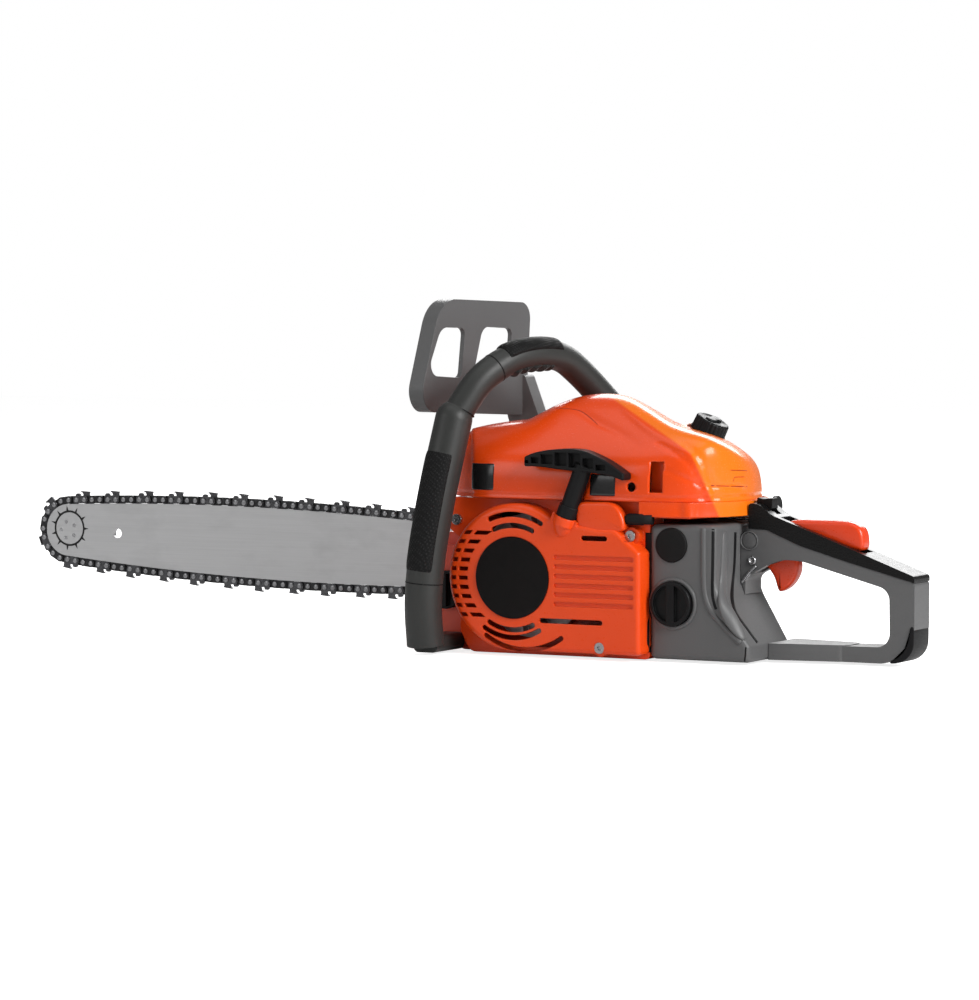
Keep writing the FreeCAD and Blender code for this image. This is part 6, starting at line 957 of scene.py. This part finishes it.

# The tank's bead and bulge; black strips in its grooves and along its seam, real lines whose darkness is
# painted shade;
# and a black strip of painted shadow in the gap behind the starter cover: a line, a width and a height.
tankTree = treeOf("fuel_tank", "rear_handle")
tankLines = {
    "tankBead": ([(-162, 106.0), (-162, 81.4), (-162.2, 56.4), (-165.9, 44.9), (-175.4, 33.5),
                  (-193.8, 17.9)], 4.2, 1.3, "greyPlastic"),
    "tankGrooveShade": ([(-170.4, 106.0), (-170.4, 83.9), (-169.7, 60.8), (-170.1, 50.5), (-173.0, 43.4)],
                   2.4, 0.2, "blackPlastic"),
    "tankSeamShade": ([(-189.4, 104.0), (-189.1, 81.3), (-186.9, 61.4), (-186.5, 51.1), (-188.7, 43.2),
                  (-195.7, 34.0), (-208.4, 19.0)], 4.6, 0.25, "blackPlastic"),
    "tankJointShade": ([(-198.6, 15.0), (-198.4, 8.8), (-197.6, 3.6)], 1.3, 0.16, "blackPlastic"),
}
for name, (line, width, height, finish) in tankLines.items():
    layStrip(name, tankTree, line, width, height, finish, slot="grey_plastic")
bulgeLine = [(-180.2, 104.5), (-180.2, 84.2), (-178.6, 62.7), (-178.6, 52.4), (-181.9, 42.1), (-189.0, 31.3),
             (-198.0, 20.5)]
layStrip("tankBulge", tankTree, bulgeLine, 12.0, 2.4, "greyPlastic", taper=0.25, arch=15, slot="grey_plastic")
# Painted shadow: a black strip where the gap between the starter cover and the tank lies in shade.
gapShadowLine = [(-115.5, 101.4), (-115.4, 82.1), (-115.5, 54.9), (-115.3, 30.8), (-115.0, 7.6)]
layStrip("coverGapShadow", treeOf("starter_cover", "fuel_tank", "crankcase_right"), gapShadowLine, 7.5, 0.3,
         "blackPlastic", slot="black_plastic")
print("tank lines laid")

# The mount's boss and screw and the throttle wire on the rear handle's bracket, and the fuel cap's collar.
spots, normals = seenOn(tankTree, [(-201.2, 97.7), (-203.8, 82.3)])
turnedPiece("mountBoss", [(6.6, -0.6), (7.6, -0.6), (7.6, 0.5), (7.2, 0.8), (6.7, 0.5)], spots[0], normals[0],
            "greyPlastic", hollow=True, slot="grey_plastic")
turnedPiece("mountPlug", [(6.2, -0.6), (6.2, 0.15), (5.6, 0.35)], spots[0], normals[0], "greyPlastic",
            slot="grey_plastic")
turnedPiece("mountScrew", [(3.6, -0.4), (3.6, 0.9), (3.0, 1.5), (1.7, 1.6), (1.7, 0.7)], spots[1], normals[1],
            "brightSteel", count=48, slot="bright_steel")
wireLine = [(-207.6, 78.4), (-205.1, 76.2), (-202.1, 73.7), (-199.6, 70.5), (-195.3, 65.0)]
layStrip("throttleWire", tankTree, wireLine, 2.8, 2.2, "brightSteel", slot="bright_steel")
turnedPiece("capCollar", [(17.6, -0.6), (20.4, -0.6), (20.4, 0.9), (19.6, 1.6), (17.6, 1.6)],
            (-134.2, 72.0, 46.0), (0, 1, 0), "greyPlastic", hollow=True, slot="grey_plastic")

# The black end plug of the rear handle, which also rounds off its lower corner.
heelOutline = [(-314.5, 31.5), (-317.8, 31.5), (-317.9, 22.0), (-317.4, 14.0), (-313.2, 7.4), (-306.5, 3.2),
               (-298.0, 2.1), (-298.0, 4.0), (-305.5, 8.0), (-311.0, 14.5), (-313.6, 22.0)]
makePlate("handleHeel", heelOutline, -5.0, 25.9, 0.6, "blackPlastic", both=True, slot="grey_plastic",
          crease=40)

# The starter cover's shoulder under the top cover, and its seat for the starter grip.
shoulderOutline = [(-55.0, 124.6), (-71.0, 124.9), (-88.3, 124.9), (-95.5, 116.5), (-98.0, 108.0),
                   (-98.0, 102.5), (-84.0, 100.6), (-61.2, 100.2), (-55.5, 107.0)]
makePlate("starterShoulder", shoulderOutline, 78.0, 86.4, 2.6, "orangeSide", slot="orange_side")
seatProfile = [(8.2, 0.3), (9.5, 0.6), (10.3, 0.0), (10.7, -2.0), (10.6, -5.0), (9.9, -8.5), (8.6, -12.0),
               (6.6, -15.5), (4.0, -17.5), (3.0, -17.5), (3.0, -4.0)]
turnedPiece("gripSeat", seatProfile, (-47.0, 82.6, 112.5), ropeWay, "orangeSide", hollow=True,
            slot="orange_side")


# The rope's free end: at rest it is a short length between the guide and the grip. Three twisted strands
# show as a slow turning ripple.
def ropeStrands(height, angle):
    return 0.22 * np.cos(angle * 3 + height * 1.5)


ropeProfile = [(1.9, height) for height in np.linspace(-9.0, 4.0, 27)]
rope = turnedPiece("starterRopeEnd", ropeProfile, ropeEye, ropeWay, "ropeWhite", count=36, ripple=ropeStrands,
                   body=None, slot="rope")
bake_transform(rope)

# The black damping arm beside the shoulder, with a round end.
armTurn = np.linspace(0, np.pi / 2, 8)[1:]
armEnd = [(4.6 * math.sin(turn), 4.6 - 4.6 * math.cos(turn)) for turn in armTurn]
turnedPiece("dampingArm", [(0.1, 0.0)] + armEnd + [(4.6, 16.0), (3.9, 17.0), (3.9, 24.0)],
            (-95.6, 79.6, 111.8), (-1, 0, 0), "blackRubber", slot="black_rubber")

# The orange floor of the slot in the top cover.
makePlate("slotWell", [(-130.0, 129.5), (-130.0, 160.0), (-112.5, 160.0), (-112.5, 129.5)], 64.5, 67.5, 0.5,
          "orangeSide", smooth=False, slot="orange_top")

# Smooth throttle trigger and lockout in place of the plain solids.
triggerOutline = [(-183.0, 78.5), (-187.4, 74.4), (-191.6, 69.8), (-194.9, 64.6), (-196.8, 58.0),
                  (-198.6, 53.9), (-202.0, 54.6), (-207.4, 57.8), (-212.4, 63.6), (-215.4, 70.5),
                  (-215.6, 78.0), (-211.5, 84.5), (-196.0, 90.5), (-184.0, 91.0)]
trigger = makePlate("triggerBlade", triggerOutline, 4.0, 16.0, 3.2, "controlRed", both=True, body="trigger",
                    slot="control_red")
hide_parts("throttle_trigger")
lockoutOutline = [(-203.4, 100.0), (-206.5, 109.4), (-214.0, 111.4), (-224.0, 111.5), (-252.0, 111.5),
                  (-262.0, 110.4), (-268.6, 106.8), (-271.4, 100.8), (-272.0, 88.0), (-262.0, 88.5),
                  (-235.0, 98.0)]
lockout = makePlate("lockoutBlade", lockoutOutline, 2.0, 18.0, 3.4, "controlRed", both=True, body="lockout",
                    slot="control_red")
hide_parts("throttle_lockout")
print("small parts made")


# The separate bodies in a mesh: equal points share one number, and the lowest number spreads along the edges.
# Each body comes back as its points in millimetres.
def bodiesIn(thing):
    data = thing.data
    points = np.zeros(len(data.vertices) * 3)
    data.vertices.foreach_get("co", points)
    points = points.reshape(-1, 3) / mm
    place, same = np.unique(np.round(points, 3), axis=0, return_inverse=True)
    edges = np.zeros(len(data.edges) * 2, int)
    data.edges.foreach_get("vertices", edges)
    edges = same.reshape(-1)[edges.reshape(-1, 2)]
    label = np.arange(len(place))
    while True:
        low = np.minimum(label[edges[:, 0]], label[edges[:, 1]])
        after = label.copy()
        np.minimum.at(after, edges[:, 0], low)
        np.minimum.at(after, edges[:, 1], low)
        after = after[after]
        if (after == label).all():
            return [place[label == number] for number in np.unique(label)]
        label = after


# The head's profile is a radius and a height over the strap's face.
chainLook = {
    "middle": -62.0, "loopCentre": (265.0, 71.0), "halfPitch": 4.1275, "nose": (522.8, 78.5),
    "noseReach": 36.0, "noseLength": 12.0, "nearFace": -59.4, "farFace": -64.6, "sides": 14,
    "head": [(2.1, -0.5), (2.1, 0.25), (1.5, 0.55), (0.5, 0.6)],
}


# Two rivets in each tie strap, at half a pitch from its middle along its longest way, and two in each cutter,
# at thirds between one strap's last rivet and the next strap's first; round the nose those are set back on
# the rivets' circle.
def rivetSpots(look):
    straps = []
    for body in bodiesIn(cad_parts["chain_tie_links"]):
        if body[:, 1].mean() < look["middle"] or len(body) < 8:
            continue
        flat = body[:, [0, 2]]
        centre = flat.mean(0)
        way = np.linalg.svd(flat - centre)[2][0]
        around = centre - np.array(look["loopCentre"])
        way = way * np.sign(way @ np.array([-around[1], around[0]])) * look["halfPitch"]
        straps.append((math.atan2(around[1], around[0]), centre - way, centre + way))
    straps = [strap[1:] for strap in sorted(straps, key=lambda strap: strap[0])]
    nose = np.array(look["nose"])
    spots = []
    for (first, last), (following, _) in zip(straps, straps[1:] + straps[:1]):
        spots += [first, last]
        if np.linalg.norm(following - last) > look["halfPitch"] * 8:
            continue
        ends = [np.linalg.norm(spot - nose) for spot in (last, following)]
        atNose = min(last[0], following[0]) > nose[0] - look["noseLength"] and max(ends) < look["noseReach"]
        for share in (1 / 3, 2 / 3):
            spot = last + (following - last) * share
            spots.append(nose + unit(spot - nose) * sum(ends) / 2 if atNose else spot)
    print("chain straps:", len(straps), "rivets on one side:", len(spots))
    return np.array(spots)


# The head's profile turned about each spot, on both sides of the chain, with a flat cap at each end.
def chainRivets(look):
    spots = rivetSpots(look)
    turn = np.linspace(0, 2 * np.pi, look["sides"], endpoint=False)
    radius, height = np.array(look["head"]).T[..., None]
    x = spots[:, 0, None, None] + radius * np.cos(turn)
    z = spots[:, 1, None, None] + radius * np.sin(turn)
    points = np.stack([np.stack([x, base + side * height + 0 * x, z], -1)
                       for side, base in ((1, look["nearFace"]), (-1, look["farFace"]))]).reshape(-1, 3)
    perHead = len(look["head"]) * look["sides"]
    start = np.arange(0, len(points), perHead)[:, None, None]
    walls = (start + gridFaces(len(look["head"]), look["sides"], wrapColumns=True)).reshape(-1, 4)
    bottom = np.arange(look["sides"])
    top = bottom[::-1] + perHead - look["sides"]
    caps = (start + np.stack([bottom, top])).reshape(-1, look["sides"])
    makePiece("chainRivetHeads", points, [walls, caps], "rivetSteel", slot="chain_steel", crease=50)


chainRivets(chainLook)

markLook = {
    "centre": (521.4, 80.1), "nearFace": -59.9, "farFace": -64.1, "inner": 14.0, "outer": 15.8,
    "points": 11, "pointHeight": 4.2, "pointSlope": 4.2, "perPoint": 32,
}


# The printed mark on the bar's nose: a thin dark ring with short points, from just inside the bar's face to
# just outside it.
def noseMark(name, look, face, out):
    cx, cz = look["centre"]
    turn = np.linspace(0, 2 * np.pi, look["points"] * look["perPoint"], endpoint=False)
    tooth = np.abs(((turn * look["points"] / (2 * np.pi)) % 1) - 0.5) * 2
    outer = look["outer"] + look["pointHeight"] * np.clip(1 - tooth * look["pointSlope"], 0, 1)
    inner = np.full_like(turn, look["inner"])
    points = np.stack([np.stack([cx + radius * np.cos(turn), np.full_like(turn, face + out * height),
                                 cz + radius * np.sin(turn)], 1)
                       for radius, height in ((inner, -0.05), (inner, 0.06), (outer, 0.06), (outer, -0.05))])
    faces = [gridFaces(4, len(turn), wrapRows=True, wrapColumns=True)]
    makePiece(name, points, faces, "markBlack", slot="bar_steel")


noseMark("noseMarkNear", markLook, markLook["nearFace"], 1)
noseMark("noseMarkFar", markLook, markLook["farFace"], -1)
print("bar and chain dressed")

# Stage, light and camera.
stageLook = {"floorSize": 12.0, "floorDrop": 0.0005, "floorColour": (0.82, 0.82, 0.82), "floorGlow": 0.8,
             "worldStrength": 0.22}


# A pale floor whose glow only the camera sees.
def makeFloor(look):
    half = look["floorSize"] / 2
    data = bpy.data.meshes.new("floorSheet")
    corners = [(-half, -half, 0), (half, -half, 0), (half, half, 0), (-half, half, 0)]
    data.from_pydata(corners, [], [(0, 1, 2, 3)])
    floor = bpy.data.objects.new("floorSheet", data)
    floor.location.z = -look["floorDrop"]
    scene.collection.objects.link(floor)
    made, tree, shader = newMaterial("paleFloor")
    cloud = noiseField(tree, objectPoints(tree), 1.5, 2.0)
    shade = mixColours(tree, spread(tree, cloud, 0, 1), times(look["floorColour"], 0.99), look["floorColour"])
    feed(tree, shader, {"Base Color": shade, "Roughness": 0.8})
    glow, light, both = addNode(tree, "Emission"), addNode(tree, "LightPath"), addNode(tree, "AddShader")
    strength = mathNode(tree, "MULTIPLY", light.outputs["Is Camera Ray"], look["floorGlow"])
    feed(tree, glow, {"Color": (1, 1, 1, 1), "Strength": strength})
    feed(tree, both, {0: shader.outputs["BSDF"], 1: glow.outputs["Emission"]})
    feed(tree, tree.nodes["Material Output"], {"Surface": both.outputs["Shader"]})
    data.materials.append(made)


# A white world, at full strength only for the camera.
def makeWorld(look):
    world = bpy.data.worlds.new("studio")
    scene.world = world
    world.use_nodes = True
    tree = world.node_tree
    path = addNode(tree, "LightPath")
    strength = spread(tree, path.outputs["Is Camera Ray"], look["worldStrength"], 1.0, 0.0, 1.0)
    feed(tree, tree.nodes["Background"], {"Color": (1, 1, 1, 1), "Strength": strength})


# The turn that points a lamp or camera along a direction.
def aimed(direction):
    dx, dy, dz = direction
    return math.pi / 2 + math.atan2(dz, math.hypot(dx, dy)), 0, math.atan2(dy, dx) - math.pi / 2


# An area lamp at a place, turned to face its aim.
def makeLamp(name, place, aim, size, power):
    data = bpy.data.lights.new(name, "AREA")
    data.shape = "RECTANGLE"
    data.size, data.size_y = size
    data.energy = power
    lamp = bpy.data.objects.new(name, data)
    lamp.location = place
    lamp.rotation_euler = aimed(np.array(aim) - np.array(place))
    scene.collection.objects.link(lamp)


makeFloor(stageLook)
makeWorld(stageLook)
makeLamp("topBox", (0.1, 0.6, 2.4), (0.0, 0.0, 0.1), (2.4, 1.6), 14.0)
makeLamp("leftBox", (1.6, 2.2, 1.1), (0.1, 0.0, 0.1), (1.4, 1.2), 11.0)
makeLamp("rightBox", (-2.6, 0.75, 1.4), (-0.1, 0.0, 0.12), (1.5, 1.3), 92.0)
makeLamp("backBox", (0.6, -2.4, 1.4), (0.0, 0.0, 0.1), (2.0, 1.2), 44.0)

view = bpy.data.cameras.new("photoView")
view.sensor_width = 36.0
view.lens = cameraLook["lens"]
camera = bpy.data.objects.new("photoView", view)
camera.location = cameraLook["place"]
camera.rotation_euler = aimed(cameraLook["direction"])
scene.collection.objects.link(camera)
scene.camera = camera
scene.view_settings.view_transform = "Standard"
print("stage, lamps and camera set")
